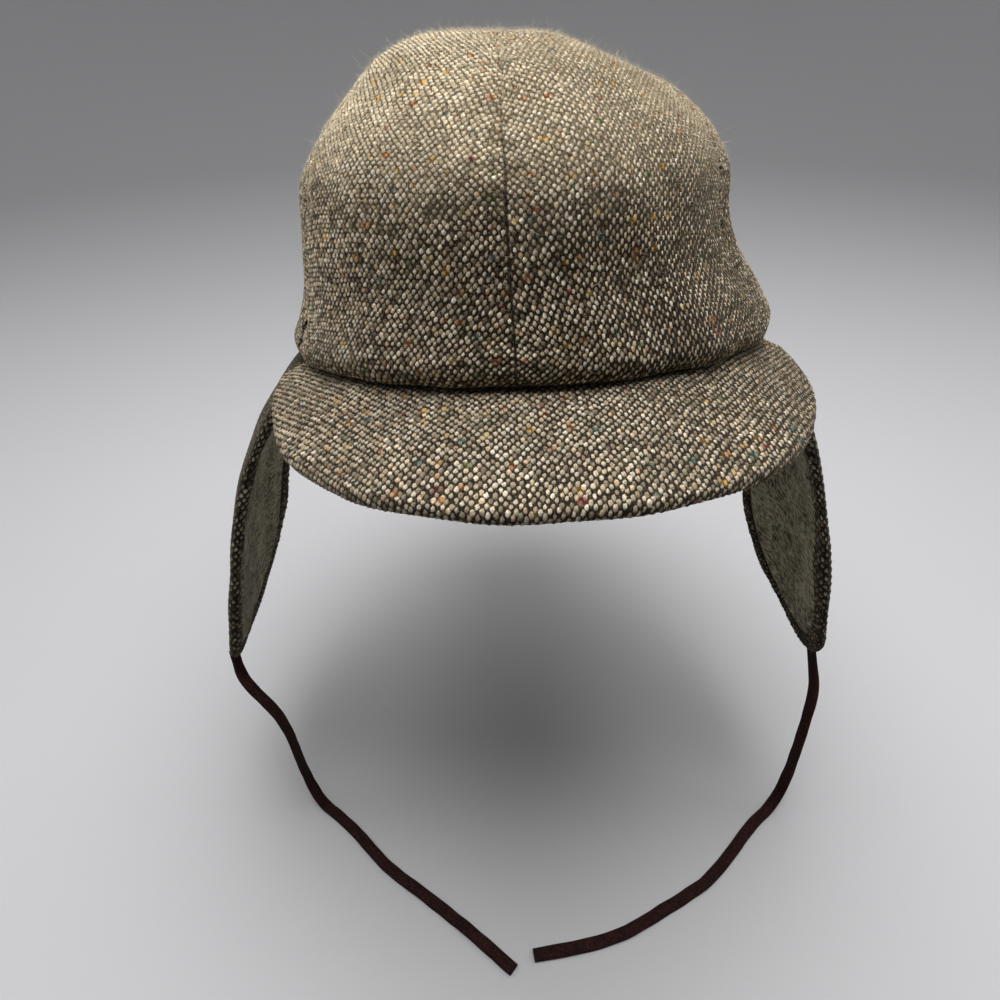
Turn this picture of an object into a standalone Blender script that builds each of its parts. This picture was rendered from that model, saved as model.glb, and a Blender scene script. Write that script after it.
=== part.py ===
"""Deerstalker hat with its ear flaps down, as it sits when worn. Metres, +Z up.

The front peak points to -Y. Left and right are the wearer's, so the left flap is at +X.
The origin is the centre of the head opening, in the plane of the crown's bottom edge.
The crown and the peaks are worked out level, then tipped back and to one side about the
origin. The flaps and laces hang from the tipped edge.
"""

import math

import bmesh
import bpy
import numpy as np

# Head opening: half the outer size of the crown's bottom edge
RIM_HALF_WIDTH = 0.0900
RIM_HALF_LENGTH = 0.1040

# How the hat sits: front edge up, the wearer's left edge up, and both sides drawn down by the flaps
TIP_BACK = math.radians(10.0)
LEAN_SIDE = math.radians(1.5)
SIDE_SAG = 0.0040

# Crown
CROWN_HEIGHT = 0.0960
PANELS = 6
SEAM_TURN = math.radians(-6.0)
CLOTH = 0.0030
HEM_THICKNESS = 0.0060
HEM_HEIGHT = 0.0140
SEAM_GAP = 0.0005
SEAM_DIP = 0.0012
SEAM_DIP_WIDTH = 0.0060
SEAM_DIP_START = 0.12
APEX_RADIUS = 0.0022
PANEL_COLUMNS = 12
PANEL_ROWS = 16
ROW_CROWDING = 1.12

# Outline of the crown: height as a share of CROWN_HEIGHT, reach as a share of the rim's half
# sizes, and how far the section sits towards +X, as a share of RIM_HALF_WIDTH
CROWN_SECTIONS = (
    # height, reach across, reach along, shift
    (0.000, 0.975, 0.975, 0.000),
    (0.035, 1.000, 1.000, 0.000),
    (0.090, 1.005, 1.010, 0.000),
    (0.170, 0.970, 0.995, -0.005),
    (0.280, 0.905, 0.970, -0.015),
    (0.420, 0.865, 0.950, -0.020),
    (0.580, 0.840, 0.910, -0.020),
    (0.727, 0.737, 0.807, -0.030),
    (0.840, 0.628, 0.685, -0.026),
    (0.927, 0.484, 0.525, -0.060),
    (0.978, 0.300, 0.325, -0.055),
    (1.000, 0.000, 0.000, -0.050),
)

# Soft folds: angle from the front towards the wearer's left, height as a share of CROWN_HEIGHT,
# half spread of each, and how far the cloth stands out, as a share of RIM_HALF_WIDTH
CROWN_FOLDS = (
    # angle, height, angle spread, height spread, out
    (75.0, 0.06, 32.0, 0.12, 0.007),
    (75.0, 0.42, 40.0, 0.20, -0.034),
    (-75.0, 0.17, 35.0, 0.12, -0.034),
    (-70.0, 0.45, 40.0, 0.25, 0.022),
    (-45.0, 0.92, 26.0, 0.12, 0.026),
    (60.0, 0.90, 35.0, 0.14, -0.058),
    (115.0, 0.86, 40.0, 0.16, -0.040),
)
FOLD_CENTRE_HEIGHT = 0.35
SAG_TOP = 0.70

# Peaks: how far each stands out in the middle and at its two ends, the squareness of its
# superellipse outline, and how steeply it falls in the middle and at its ends
HEM_GAP = 0.0003
PEAK_HALF_ANGLE = math.radians(66.0)
PEAK_THICKNESS = 0.0042
PEAK_EDGE_ROLL = 0.0014
PEAK_TUCK = 0.0050
PEAK_COLUMNS = 28
FRONT_PEAK = {
    "reach": 0.0465,
    "end_reach": 0.0098,
    "squareness": 2.1,
    "slope": math.radians(18.0),
    "end_slope": math.radians(20.0),
}
BACK_PEAK = {
    "reach": 0.0420,
    "end_reach": 0.0120,
    "squareness": 2.3,
    "slope": math.radians(24.0),
    "end_slope": math.radians(34.0),
}
# Shares of a peak's reach at its rows, from the sewn edge to the free edge, and how much of its
# slope it has where it leaves the hem
PEAK_ROWS = (0.0, 0.14, 0.34, 0.58, 0.82, 0.95, 1.0)
PEAK_START_SLOPE = 0.75

# Ear flaps
FLAP_END_GAP = 0.0024
FLAP_WIDTH = 0.0950
FLAP_LENGTH = 0.1460
FLAP_THICKNESS = 0.0045
FLAP_EDGE_ROUND = 0.0012
FLAP_BAND = 0.0060
LINING_THICKNESS = 0.0016
LINING_GAP = 0.0005
FLAP_BEND_SHARE = 0.60
FLAP_REACH_SHARE = 1.2

# How each flap hangs: the angles at which it leaves the rim and reaches its tip, how much less its
# rear edge stands out than its front edge, and how far it leans forward
FLAP_HANG = {
    "left": {
        "side": 1,
        "top_flare": math.radians(44.0),
        "tip_flare": math.radians(6.0),
        "rear_ease": 0.50,
        "forward": math.radians(16.0),
    },
    "right": {
        "side": -1,
        "top_flare": math.radians(46.0),
        "tip_flare": math.radians(12.0),
        "rear_ease": 0.25,
        "forward": math.radians(8.0),
    },
}
FLAP_TOP_INSET = 0.0005
FLAP_STEPS = 22

# A flap's cut edge from its front top round the tip to its rear top, as shares of its width and length
FLAP_OUTLINE = (
    # across, down
    (0.00, 0.00),
    (0.00, 0.30),
    (0.00, 0.60),
    (0.01, 0.82),
    (0.06, 0.94),
    (0.18, 1.00),
    (0.34, 0.98),
    (0.52, 0.89),
    (0.63, 0.75),
    (0.66, 0.58),
    (0.69, 0.38),
    (0.79, 0.18),
    (1.00, 0.00),
)
FLAP_SPINE_TOP = (0.50, 0.00)
FLAP_SPINE_TIP = (0.24, 0.84)
FLAP_SPINE_PACE = 0.8

# Laces: each centre line from just below a flap's tip down to a level surface and along it, and how
# many diameters lie between the points of its tube
LACE_DIAMETER = 0.0050
LACE_STEP = 2.0
TABLE_Z = -0.2075
LACE_ROUTES = {
    "left": (
        # x, y, z
        (0.1200, -0.0717, -0.1263),
        (0.1211, -0.0728, -0.1312),
        (0.1219, -0.0752, -0.1364),
        (0.1218, -0.0790, -0.1412),
        (0.1203, -0.0830, -0.1464),
        (0.1185, -0.0863, -0.1535),
        (0.1173, -0.0888, -0.1625),
        (0.1166, -0.0902, -0.1730),
        (0.1160, -0.0912, -0.1840),
        (0.1147, -0.0924, -0.1940),
        (0.1118, -0.0946, -0.2013),
        (0.1068, -0.0982, -0.2048),
        (0.1000, -0.1030, -0.2050),
        (0.0928, -0.1091, -0.2050),
        (0.0862, -0.1152, -0.2050),
        (0.0781, -0.1223, -0.2050),
        (0.0696, -0.1287, -0.2050),
        (0.0606, -0.1334, -0.2050),
        (0.0513, -0.1378, -0.2050),
        (0.0322, -0.1463, -0.2050),
        (0.0147, -0.1506, -0.2050),
        (-0.0070, -0.1531, -0.2050),
    ),
    "right": (
        # x, y, z
        (-0.1312, -0.0593, -0.1284),
        (-0.1303, -0.0615, -0.1328),
        (-0.1276, -0.0650, -0.1360),
        (-0.1235, -0.0690, -0.1382),
        (-0.1190, -0.0725, -0.1407),
        (-0.1150, -0.0750, -0.1445),
        (-0.1120, -0.0768, -0.1498),
        (-0.1102, -0.0777, -0.1568),
        (-0.1093, -0.0781, -0.1655),
        (-0.1087, -0.0783, -0.1750),
        (-0.1077, -0.0787, -0.1850),
        (-0.1059, -0.0798, -0.1945),
        (-0.1029, -0.0820, -0.2018),
        (-0.0984, -0.0853, -0.2050),
        (-0.0925, -0.0902, -0.2050),
        (-0.0830, -0.0992, -0.2050),
        (-0.0748, -0.1081, -0.2050),
        (-0.0670, -0.1158, -0.2050),
        (-0.0520, -0.1273, -0.2050),
        (-0.0345, -0.1412, -0.2050),
        (-0.0153, -0.1579, -0.2050),
    ),
}

# Finishes: colour and roughness
TWEED = ((0.30, 0.25, 0.18), 0.95)
LINING = ((0.24, 0.23, 0.19), 0.95)
LACE = ((0.055, 0.020, 0.016), 0.90)

# Meshing: points that count as one, the angle past which an edge shows sharp, the fine steps of a
# sampled curve, and the small step by which a surface's slope is taken
WELD = 0.00001
SHARP_ANGLE = math.radians(50.0)
CURVE_STEPS = 400
SLOPE_STEP = 0.0008


def clear_scene():
    for item in list(bpy.data.objects):
        bpy.data.objects.remove(item, do_unlink=True)


def cloth_material(name, finish):
    colour, roughness = finish
    material = bpy.data.materials.new(name)
    material.use_nodes = True
    shader = material.node_tree.nodes["Principled BSDF"]
    shader.inputs["Base Color"].default_value = (*colour, 1.0)
    shader.inputs["Roughness"].default_value = roughness
    shader.inputs["Metallic"].default_value = 0.0
    return material


def smooth_curve(points, count):
    """A Catmull-Rom curve through the points, sampled at even steps of its length."""
    points = np.asarray(points, float)
    first = 2 * points[0] - points[1]
    last = 2 * points[-1] - points[-2]
    knots = np.vstack((first, points, last))
    pieces = []
    steps = np.linspace(0.0, 1.0, CURVE_STEPS // 16, endpoint=False)[:, None]
    for a, b, c, d in zip(knots, knots[1:], knots[2:], knots[3:]):
        linear = (c - a) * steps
        square = (2 * a - 5 * b + 4 * c - d) * steps**2
        cube = (3 * b - a - 3 * c + d) * steps**3
        pieces.append(b + 0.5 * (linear + square + cube))
    curve = np.vstack((*pieces, points[-1:]))
    lengths = np.r_[0.0, np.cumsum(np.linalg.norm(np.diff(curve, axis=0), axis=1))]
    even = np.linspace(0.0, lengths[-1], count)
    return np.stack([np.interp(even, lengths, column) for column in curve.T], -1)


def tilt():
    """Matrix that turns the level hat as it is worn."""
    back_cos, back_sin = math.cos(TIP_BACK), math.sin(TIP_BACK)
    side_cos, side_sin = math.cos(LEAN_SIDE), math.sin(LEAN_SIDE)
    tip_back = np.array(((1, 0, 0), (0, back_cos, back_sin), (0, -back_sin, back_cos)))
    lean_side = np.array(((side_cos, 0, -side_sin), (0, 1, 0), (side_sin, 0, side_cos)))
    return lean_side @ tip_back


WORN = tilt()


def sag(x):
    """How far the level hat is drawn down at a distance x from its middle."""
    return SIDE_SAG * (x / RIM_HALF_WIDTH) ** 2


def worn(points):
    """Draws the level hat down at its sides, less and less up to SAG_TOP, then tilts it."""
    points = np.array(points, float)
    fade = np.clip(1 - points[..., 2] / (SAG_TOP * CROWN_HEIGHT), 0, 1)
    points[..., 2] -= sag(points[..., 0]) * fade
    return points @ WORN.T


def add_mesh(name, vertices, faces, material, merge=False):
    mesh = bpy.data.meshes.new(name)
    mesh.from_pydata(np.asarray(vertices).tolist(), [], faces)
    if merge:
        work = bmesh.new()
        work.from_mesh(mesh)
        bmesh.ops.remove_doubles(work, verts=work.verts, dist=WELD)
        bmesh.ops.dissolve_degenerate(work, edges=work.edges, dist=WELD)
        work.to_mesh(mesh)
        work.free()
    work = bmesh.new()
    work.from_mesh(mesh)
    bmesh.ops.recalc_face_normals(work, faces=work.faces)
    work.to_mesh(mesh)
    work.free()
    mesh.shade_smooth()
    mesh.set_sharp_from_angle(angle=SHARP_ANGLE)
    mesh.materials.append(material)
    item = bpy.data.objects.new(name, mesh)
    bpy.context.scene.collection.objects.link(item)
    return item


def slab(front, back, folded=False):
    """Closed mesh between two grids of the same size: both sheets and the edges between them. In a
    folded slab the last row's two halves meet, so that row has no edge."""
    rows, columns = front.shape[:2]
    vertices = np.concatenate((front.reshape(-1, 3), back.reshape(-1, 3)))
    behind = rows * columns
    faces = []
    for row in range(rows - 1):
        for column in range(columns - 1):
            corner = row * columns + column
            quad = (corner, corner + 1, corner + columns + 1, corner + columns)
            faces.append(quad)
            faces.append(tuple(behind + index for index in reversed(quad)))
    left = [row * columns for row in range(rows - 1, 0, -1)]
    top = list(range(columns))
    right = [row * columns + columns - 1 for row in range(1, rows)]
    bottom = [(rows - 1) * columns + column for column in range(columns - 2, -1, -1)]
    edge = left + top + right
    if not folded:
        edge += bottom
    for here, following in zip(edge, edge[1:]):
        faces.append((following, here, behind + here, behind + following))
    return vertices, faces


CROWN_PROFILE = smooth_curve(CROWN_SECTIONS, CURVE_STEPS)
CROWN_ALONG = np.linspace(0.0, 1.0, len(CROWN_PROFILE))


def crown_surface(angle, along):
    """Level outer face of the crown. angle runs round from the front towards the wearer's left,
    along from the bottom edge to the top: an ellipse at each height, swollen or pressed in by
    the folds, and drawn in along the sewn seams."""
    columns = (np.interp(along, CROWN_ALONG, column) for column in CROWN_PROFILE.T)
    height, across, length, shift = columns
    out = np.ones_like(angle)
    for fold_angle, fold_height, angle_spread, height_spread, amount in CROWN_FOLDS:
        turn = np.degrees(np.angle(np.exp(1j * (angle - math.radians(fold_angle)))))
        out += amount * np.exp(-((turn / angle_spread) ** 2) - ((height - fold_height) / height_spread) ** 2)
    seam_step = 2 * math.pi / PANELS
    from_seam = np.abs((angle - SEAM_TURN + seam_step / 2) % seam_step - seam_step / 2)
    radius = across * RIM_HALF_WIDTH
    dip = SEAM_DIP * np.exp(-((from_seam * radius / SEAM_DIP_WIDTH) ** 2))
    out -= dip / RIM_HALF_WIDTH * np.clip(along / SEAM_DIP_START, 0, 1)
    x = RIM_HALF_WIDTH * (across * np.sin(angle) * out + shift)
    y = -length * RIM_HALF_LENGTH * np.cos(angle) * out
    z = CROWN_HEIGHT * (FOLD_CENTRE_HEIGHT + (height - FOLD_CENTRE_HEIGHT) * out)
    z = np.where(height < FOLD_CENTRE_HEIGHT, CROWN_HEIGHT * height, z)
    return np.stack((x, y, z), -1)


def unit_normals(surface, first, second):
    """Normals of a surface of two parameters, from its slopes along each."""
    along_first = surface(first + SLOPE_STEP, second) - surface(first - SLOPE_STEP, second)
    along_second = surface(first, second + SLOPE_STEP) - surface(first, second - SLOPE_STEP)
    normal = np.cross(along_first, along_second)
    return normal / np.linalg.norm(normal, axis=-1, keepdims=True)


def crown_panel(number, material):
    """One gore: the outer face, and an inner face one cloth thickness inside, thicker at the hem."""
    last = np.interp(APEX_RADIUS / RIM_HALF_WIDTH, CROWN_PROFILE[::-1, 1], CROWN_ALONG[::-1])
    rows = last * np.linspace(0.0, 1.0, PANEL_ROWS + 1) ** ROW_CROWDING
    reach = np.interp(rows, CROWN_ALONG, CROWN_PROFILE[:, 1]) * RIM_HALF_WIDTH
    half_gap = SEAM_GAP / 2 / reach
    step = 2 * math.pi / PANELS
    share = 0.5 - 0.5 * np.cos(np.linspace(0.0, math.pi, PANEL_COLUMNS + 1))
    start = (SEAM_TURN + number * step + half_gap)[:, None]
    end = (SEAM_TURN + (number + 1) * step - half_gap)[:, None]
    angle = start + (end - start) * share
    along = np.repeat(rows[:, None], len(share), axis=1)
    outer = crown_surface(angle, along)
    normal = unit_normals(crown_surface, angle, np.clip(along, SLOPE_STEP, 1 - SLOPE_STEP))
    hem = np.clip(1 - outer[..., 2:3] / HEM_HEIGHT, 0, 1)
    wall = CLOTH + (HEM_THICKNESS - CLOTH) * hem
    inner = outer - wall * normal
    flat = normal[0] * (1, 1, 0)
    flat /= np.linalg.norm(flat, axis=-1, keepdims=True)
    inner[0] = outer[0] - HEM_THICKNESS * flat
    vertices, faces = slab(worn(outer), worn(inner))
    return add_mesh(f"crown_panel_{number + 1}", vertices, faces, material)


def rim_point(angle, inset):
    """Level point on the crown's bottom edge, inset inwards across the edge."""
    share = CROWN_SECTIONS[0][1]
    wide = RIM_HALF_WIDTH * share
    long = RIM_HALF_LENGTH * share
    x = wide * np.sin(angle)
    y = -long * np.cos(angle)
    normal = np.stack((np.sin(angle) / wide, -np.cos(angle) / long), -1)
    normal /= np.linalg.norm(normal, axis=-1, keepdims=True)
    return np.stack((x, y), -1) - inset * normal, normal


def rim_angle(start, distance):
    """Angle reached by going a distance round the crown's bottom edge from the start angle."""
    angles = np.linspace(0.0, math.pi, 4 * CURVE_STEPS + 1)
    line, _ = rim_point(angles, 0.0)
    lengths = np.r_[0.0, np.cumsum(np.linalg.norm(np.diff(line, axis=0), axis=1))]
    return np.interp(np.interp(start, angles, lengths) + distance, lengths, angles)


def peak(name, sizes, half_angle, front, material):
    """A peak: tucked under the hem, then falling outwards to a superellipse free edge."""
    share = np.linspace(-1.0, 1.0, PEAK_COLUMNS + 1)
    angle = share * half_angle
    edge_angle = share * math.pi / 2
    tuck, _ = rim_point(angle, PEAK_TUCK)
    root, _ = rim_point(angle, 0.0)
    end_x, end_y = root[-1]
    half_width = end_x + sizes["end_reach"]
    front_y = root[len(share) // 2, 1] - sizes["reach"]
    power = 2 / sizes["squareness"]
    edge_x = half_width * np.sign(share) * np.abs(np.sin(edge_angle)) ** power
    edge_y = end_y + (front_y - end_y) * np.abs(np.cos(edge_angle)) ** power
    edge = np.stack((edge_x, edge_y), -1)
    slope = sizes["slope"] + (sizes["end_slope"] - sizes["slope"]) * np.sin(edge_angle) ** 2
    rows = np.array(PEAK_ROWS)[:, None, None]
    plan = root + (edge - root) * rows
    out = np.linalg.norm(plan - root, axis=-1)
    steepness = PEAK_START_SLOPE + (1 - PEAK_START_SLOPE) * rows[..., 0]
    top_z = -HEM_GAP - out * np.tan(slope) * steepness
    plan = np.concatenate((tuck[None], plan))
    top_z = np.concatenate((np.full((1, len(share)), -HEM_GAP), top_z))
    low_z = top_z - PEAK_THICKNESS
    top_z[-1] -= PEAK_EDGE_ROLL
    low_z[-1] += PEAK_EDGE_ROLL
    top = np.concatenate((plan, top_z[..., None]), -1)
    low = np.concatenate((plan, low_z[..., None]), -1)
    if not front:
        top[..., :2] *= -1
        low[..., :2] *= -1
    vertices, faces = slab(worn(top), worn(low))
    return add_mesh(name, vertices, faces, material)


def flap_surface(across, down, hang):
    """Middle face of a flap. across is measured along the rim from the flap's front end, down
    from the rim. The flap leaves the rim at its top flare and bends to hang at its tip flare."""
    angle = rim_angle(PEAK_HALF_ANGLE, FLAP_END_GAP + across)
    flat, normal = rim_point(angle, FLAP_TOP_INSET + FLAP_THICKNESS / 2)
    top = np.concatenate((flat, np.full_like(flat[..., :1], -HEM_GAP)), -1)
    top[..., 0] *= hang["side"]
    top = worn(top)
    steps = np.linspace(0.0, FLAP_REACH_SHARE, CURVE_STEPS + 1)
    bend = np.clip(steps / FLAP_BEND_SHARE, 0, 1)
    bend = bend * bend * (3 - 2 * bend)
    flare = hang["top_flare"] + (hang["tip_flare"] - hang["top_flare"]) * bend
    pace = FLAP_LENGTH * (steps[1] - steps[0])
    outwards = np.r_[0.0, np.cumsum(np.sin(flare[1:]) * pace)]
    downwards = np.r_[0.0, np.cumsum(np.cos(flare[1:]) * pace)]
    share = down / FLAP_LENGTH
    above = np.minimum(down, 0)
    ease = 1 - hang["rear_ease"] * np.clip(across / FLAP_WIDTH, 0, 1)
    out = (np.interp(share, steps, outwards) + above * math.sin(hang["top_flare"])) * ease
    drop = np.interp(share, steps, downwards) + above * math.cos(hang["top_flare"])
    x = top[..., 0] + hang["side"] * normal[..., 0] * out
    lean = hang["forward"] * np.clip(share / FLAP_BEND_SHARE, 0, 1)
    y = top[..., 1] + normal[..., 1] * out - drop * np.sin(lean)
    z = top[..., 2] - drop * np.cos(lean)
    return np.stack((x, y, z), -1)


def flap_rings(insets):
    """Flat cut-out of a flap as curves inside one another: the outline set in by each inset, and
    last the spine, where both sides meet."""
    size = np.array((FLAP_WIDTH, FLAP_LENGTH))
    outline = smooth_curve(np.array(FLAP_OUTLINE) * size, 2 * FLAP_STEPS + 1)
    along = np.gradient(outline, axis=0)
    inwards = np.stack((along[:, 1], -along[:, 0]), -1)
    inwards /= np.linalg.norm(inwards, axis=-1, keepdims=True)
    share = 1 - np.abs(np.linspace(-1.0, 1.0, 2 * FLAP_STEPS + 1))[:, None]
    spine_top = np.array(FLAP_SPINE_TOP) * size
    spine_tip = np.array(FLAP_SPINE_TIP) * size
    spine = spine_top + (spine_tip - spine_top) * share**FLAP_SPINE_PACE
    rings = [outline + inset * inwards for inset in insets]
    for ring in rings:
        ring[0, 1] = 0.0
        ring[-1, 1] = 0.0
    rings.append(0.5 * (rings[-1] + spine))
    rings.append(spine)
    return np.array(rings)


def flap_points(rings, depth, hang):
    """Places flat rings on the flap, depth out from its middle face. The top ends lie along the
    underside of the hem, and nothing stands above it."""
    across, down = rings[..., 0], rings[..., 1]

    def middle(first, second):
        return flap_surface(first, second, hang)

    normal = unit_normals(middle, across, down)
    outward = np.sign(np.sum(normal * (hang["side"], 0, 0), axis=-1, keepdims=True))
    level = (middle(across, down) + depth * normal * outward) @ WORN
    hem = -HEM_GAP - sag(level[..., 0])
    level[..., 2] = np.minimum(level[..., 2], hem)
    level[:, (0, -1), 2] = hem[:, (0, -1)]
    return level @ WORN.T


def ear_flap(name, hang, material):
    """The tweed shell: a round-edged tongue, with a shallow bed for the lining on its inner face."""
    insets = (0.0, FLAP_EDGE_ROUND, FLAP_BAND, FLAP_BAND + LINING_GAP)
    rings = flap_rings(insets)
    half = FLAP_THICKNESS / 2
    bed = -half + LINING_THICKNESS
    outer = flap_points(rings, half, hang)
    inner = flap_points(rings, -half, hang)
    inner[3:] = flap_points(rings[3:], bed, hang)
    middle = flap_points(rings[:1], 0.0, hang)[0]
    outer[0] = middle
    inner[0] = middle
    vertices, faces = slab(outer, inner, folded=True)
    return add_mesh(name, vertices, faces, material, merge=True)


def flap_lining(name, hang, material):
    """The lining: a thin tongue in the shell's bed, one gap inside the turned edge."""
    rings = flap_rings((FLAP_BAND + 2 * LINING_GAP,))
    half = FLAP_THICKNESS / 2
    back = flap_points(rings, -half + LINING_THICKNESS - LINING_GAP, hang)
    face = flap_points(rings, -half - LINING_GAP, hang)
    vertices, faces = slab(back, face, folded=True)
    return add_mesh(name, vertices, faces, material, merge=True)


def lace(name, route, material):
    """A plain round lace along a smooth curve through its route, resting on the surface."""
    rough = smooth_curve(route, CURVE_STEPS)
    length = np.linalg.norm(np.diff(rough, axis=0), axis=1).sum()
    count = round(length / (LACE_STEP * LACE_DIAMETER)) + 1
    centres = smooth_curve(route, count)
    centres[:, 2] = np.maximum(centres[:, 2], TABLE_Z + LACE_DIAMETER / 2)
    curve = bpy.data.curves.new(name, "CURVE")
    curve.dimensions = "3D"
    curve.bevel_depth = LACE_DIAMETER / 2
    curve.bevel_resolution = 2
    curve.use_fill_caps = True
    spline = curve.splines.new("POLY")
    spline.points.add(count - 1)
    spline.points.foreach_set("co", np.c_[centres, np.ones(count)].ravel())
    curve.materials.append(material)
    item = bpy.data.objects.new(name, curve)
    bpy.context.scene.collection.objects.link(item)
    return item


def build():
    clear_scene()
    tweed = cloth_material("tweed", TWEED)
    lining = cloth_material("felted_lining", LINING)
    suede = cloth_material("suede_lace", LACE)
    for number in range(PANELS):
        crown_panel(number, tweed)
    flap_end = rim_angle(PEAK_HALF_ANGLE, FLAP_WIDTH + 2 * FLAP_END_GAP)
    peak("front_peak", FRONT_PEAK, PEAK_HALF_ANGLE, True, tweed)
    peak("back_peak", BACK_PEAK, math.pi - flap_end, False, tweed)
    for word, hang in FLAP_HANG.items():
        ear_flap(f"earflap_{word}", hang, tweed)
        flap_lining(f"earflap_lining_{word}", hang, lining)
        lace(f"tie_cord_{word}", LACE_ROUTES[word], suede)


build()
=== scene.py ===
# %% [markdown]
# # Dressing a deerstalker hat
#
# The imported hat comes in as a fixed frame: plain solids at their real size. This script gives them
# the looks of coarse flecked tweed, felted lining and suede lace. Every shape is worked out with
# numpy as a grid of points, so each formula can be read in one place.

import math

import bpy
import numpy as np
from mathutils import Matrix


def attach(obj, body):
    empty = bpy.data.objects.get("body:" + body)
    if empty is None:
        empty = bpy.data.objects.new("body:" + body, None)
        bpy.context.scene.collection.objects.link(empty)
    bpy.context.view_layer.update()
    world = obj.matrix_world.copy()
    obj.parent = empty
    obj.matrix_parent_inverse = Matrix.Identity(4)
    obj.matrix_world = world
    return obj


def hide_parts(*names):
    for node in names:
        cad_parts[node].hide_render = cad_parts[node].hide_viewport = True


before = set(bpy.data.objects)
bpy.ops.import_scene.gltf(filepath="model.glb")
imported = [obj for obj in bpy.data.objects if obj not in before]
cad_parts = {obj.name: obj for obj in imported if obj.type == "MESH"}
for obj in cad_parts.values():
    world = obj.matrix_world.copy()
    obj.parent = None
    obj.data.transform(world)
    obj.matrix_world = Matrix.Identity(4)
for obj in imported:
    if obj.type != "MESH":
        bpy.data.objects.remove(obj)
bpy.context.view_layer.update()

# %% [markdown]
# ## The camera
#
# A photographed object is easiest to match when the camera is found first. The place, the downward
# tilt and the lens below make the hat's rim, peak and flaps fall where the photograph has them. A
# camera or a lamp is turned by a matrix: its columns are the directions right, up and backward.

# %% Camera
CAMERA_PLACE = (-0.0211, -0.2744, 0.1045)
CAMERA_TURN = math.radians(2.0)
CAMERA_PITCH = math.radians(35.44)
CAMERA_ROLL = math.radians(1.17)
CAMERA_LENS = 25.09
CAMERA_NEAREST = 0.01


def camera_axes(turn, pitch, roll):
    """Right, up and backward directions of a camera that looks along +Y before it is turned: the
    level right hand and the forward ray give down, and the roll turns right and down together."""
    right = np.array((math.cos(turn), -math.sin(turn), 0.0))
    level = math.cos(pitch)
    forward = np.array((math.sin(turn) * level, math.cos(turn) * level, -math.sin(pitch)))
    down = np.cross(forward, right)
    rolled_right = math.cos(roll) * right + math.sin(roll) * down
    rolled_down = math.cos(roll) * down - math.sin(roll) * right
    return rolled_right, -rolled_down, -forward


def put_in_scene(name, data):
    """A new object at the origin that holds the given mesh, lamp or camera."""
    thing = bpy.data.objects.new(name, data)
    bpy.context.scene.collection.objects.link(thing)
    return thing


def aim(thing, axes, place):
    """Turns a lamp or camera to its three axes and moves it to its place."""
    matrix = np.eye(4)
    matrix[:3, :3] = np.stack(axes, -1)
    matrix[:3, 3] = place
    thing.matrix_world = Matrix(matrix.tolist())


def add_camera():
    """The camera that the hat is seen through."""
    data = bpy.data.cameras.new("camera")
    data.lens = CAMERA_LENS
    data.clip_start = CAMERA_NEAREST
    camera = put_in_scene("camera", data)
    aim(camera, camera_axes(CAMERA_TURN, CAMERA_PITCH, CAMERA_ROLL), CAMERA_PLACE)
    bpy.context.scene.camera = camera


add_camera()
print("camera looks down by", round(math.degrees(CAMERA_PITCH), 1), "degrees")

# %% [markdown]
# ## From arrays to a mesh
#
# A mesh is a list of points and a list of faces. Both are made as whole arrays and handed over in
# one go with foreach_set, which is far quicker than adding faces one by one. The signed volume of
# a closed mesh tells whether its faces point out: if it is negative, every face is turned over.


# %% Mesh helpers
def grid_numbers(rows, columns, first=0):
    """Numbers of a grid's points, counted row by row from the first."""
    return first + np.arange(rows * columns).reshape(rows, columns)


def cell_corners(numbers):
    """Four corners of each cell of a grid of point numbers."""
    corners = (numbers[:-1, :-1], numbers[:-1, 1:], numbers[1:, 1:], numbers[1:, :-1])
    return np.stack(corners, -1).reshape(-1, 4)


def signed_volume(points, quads, triangles):
    """A sixth of the sum of the box products of all triangles, with each quad cut in two."""
    halves = np.concatenate((quads[:, (0, 1, 2)], quads[:, (0, 2, 3)], triangles))
    a, b, c = (points[halves[:, corner]] for corner in range(3))
    return float(np.einsum("ij,ij->", a, np.cross(b, c))) / 6


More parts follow.
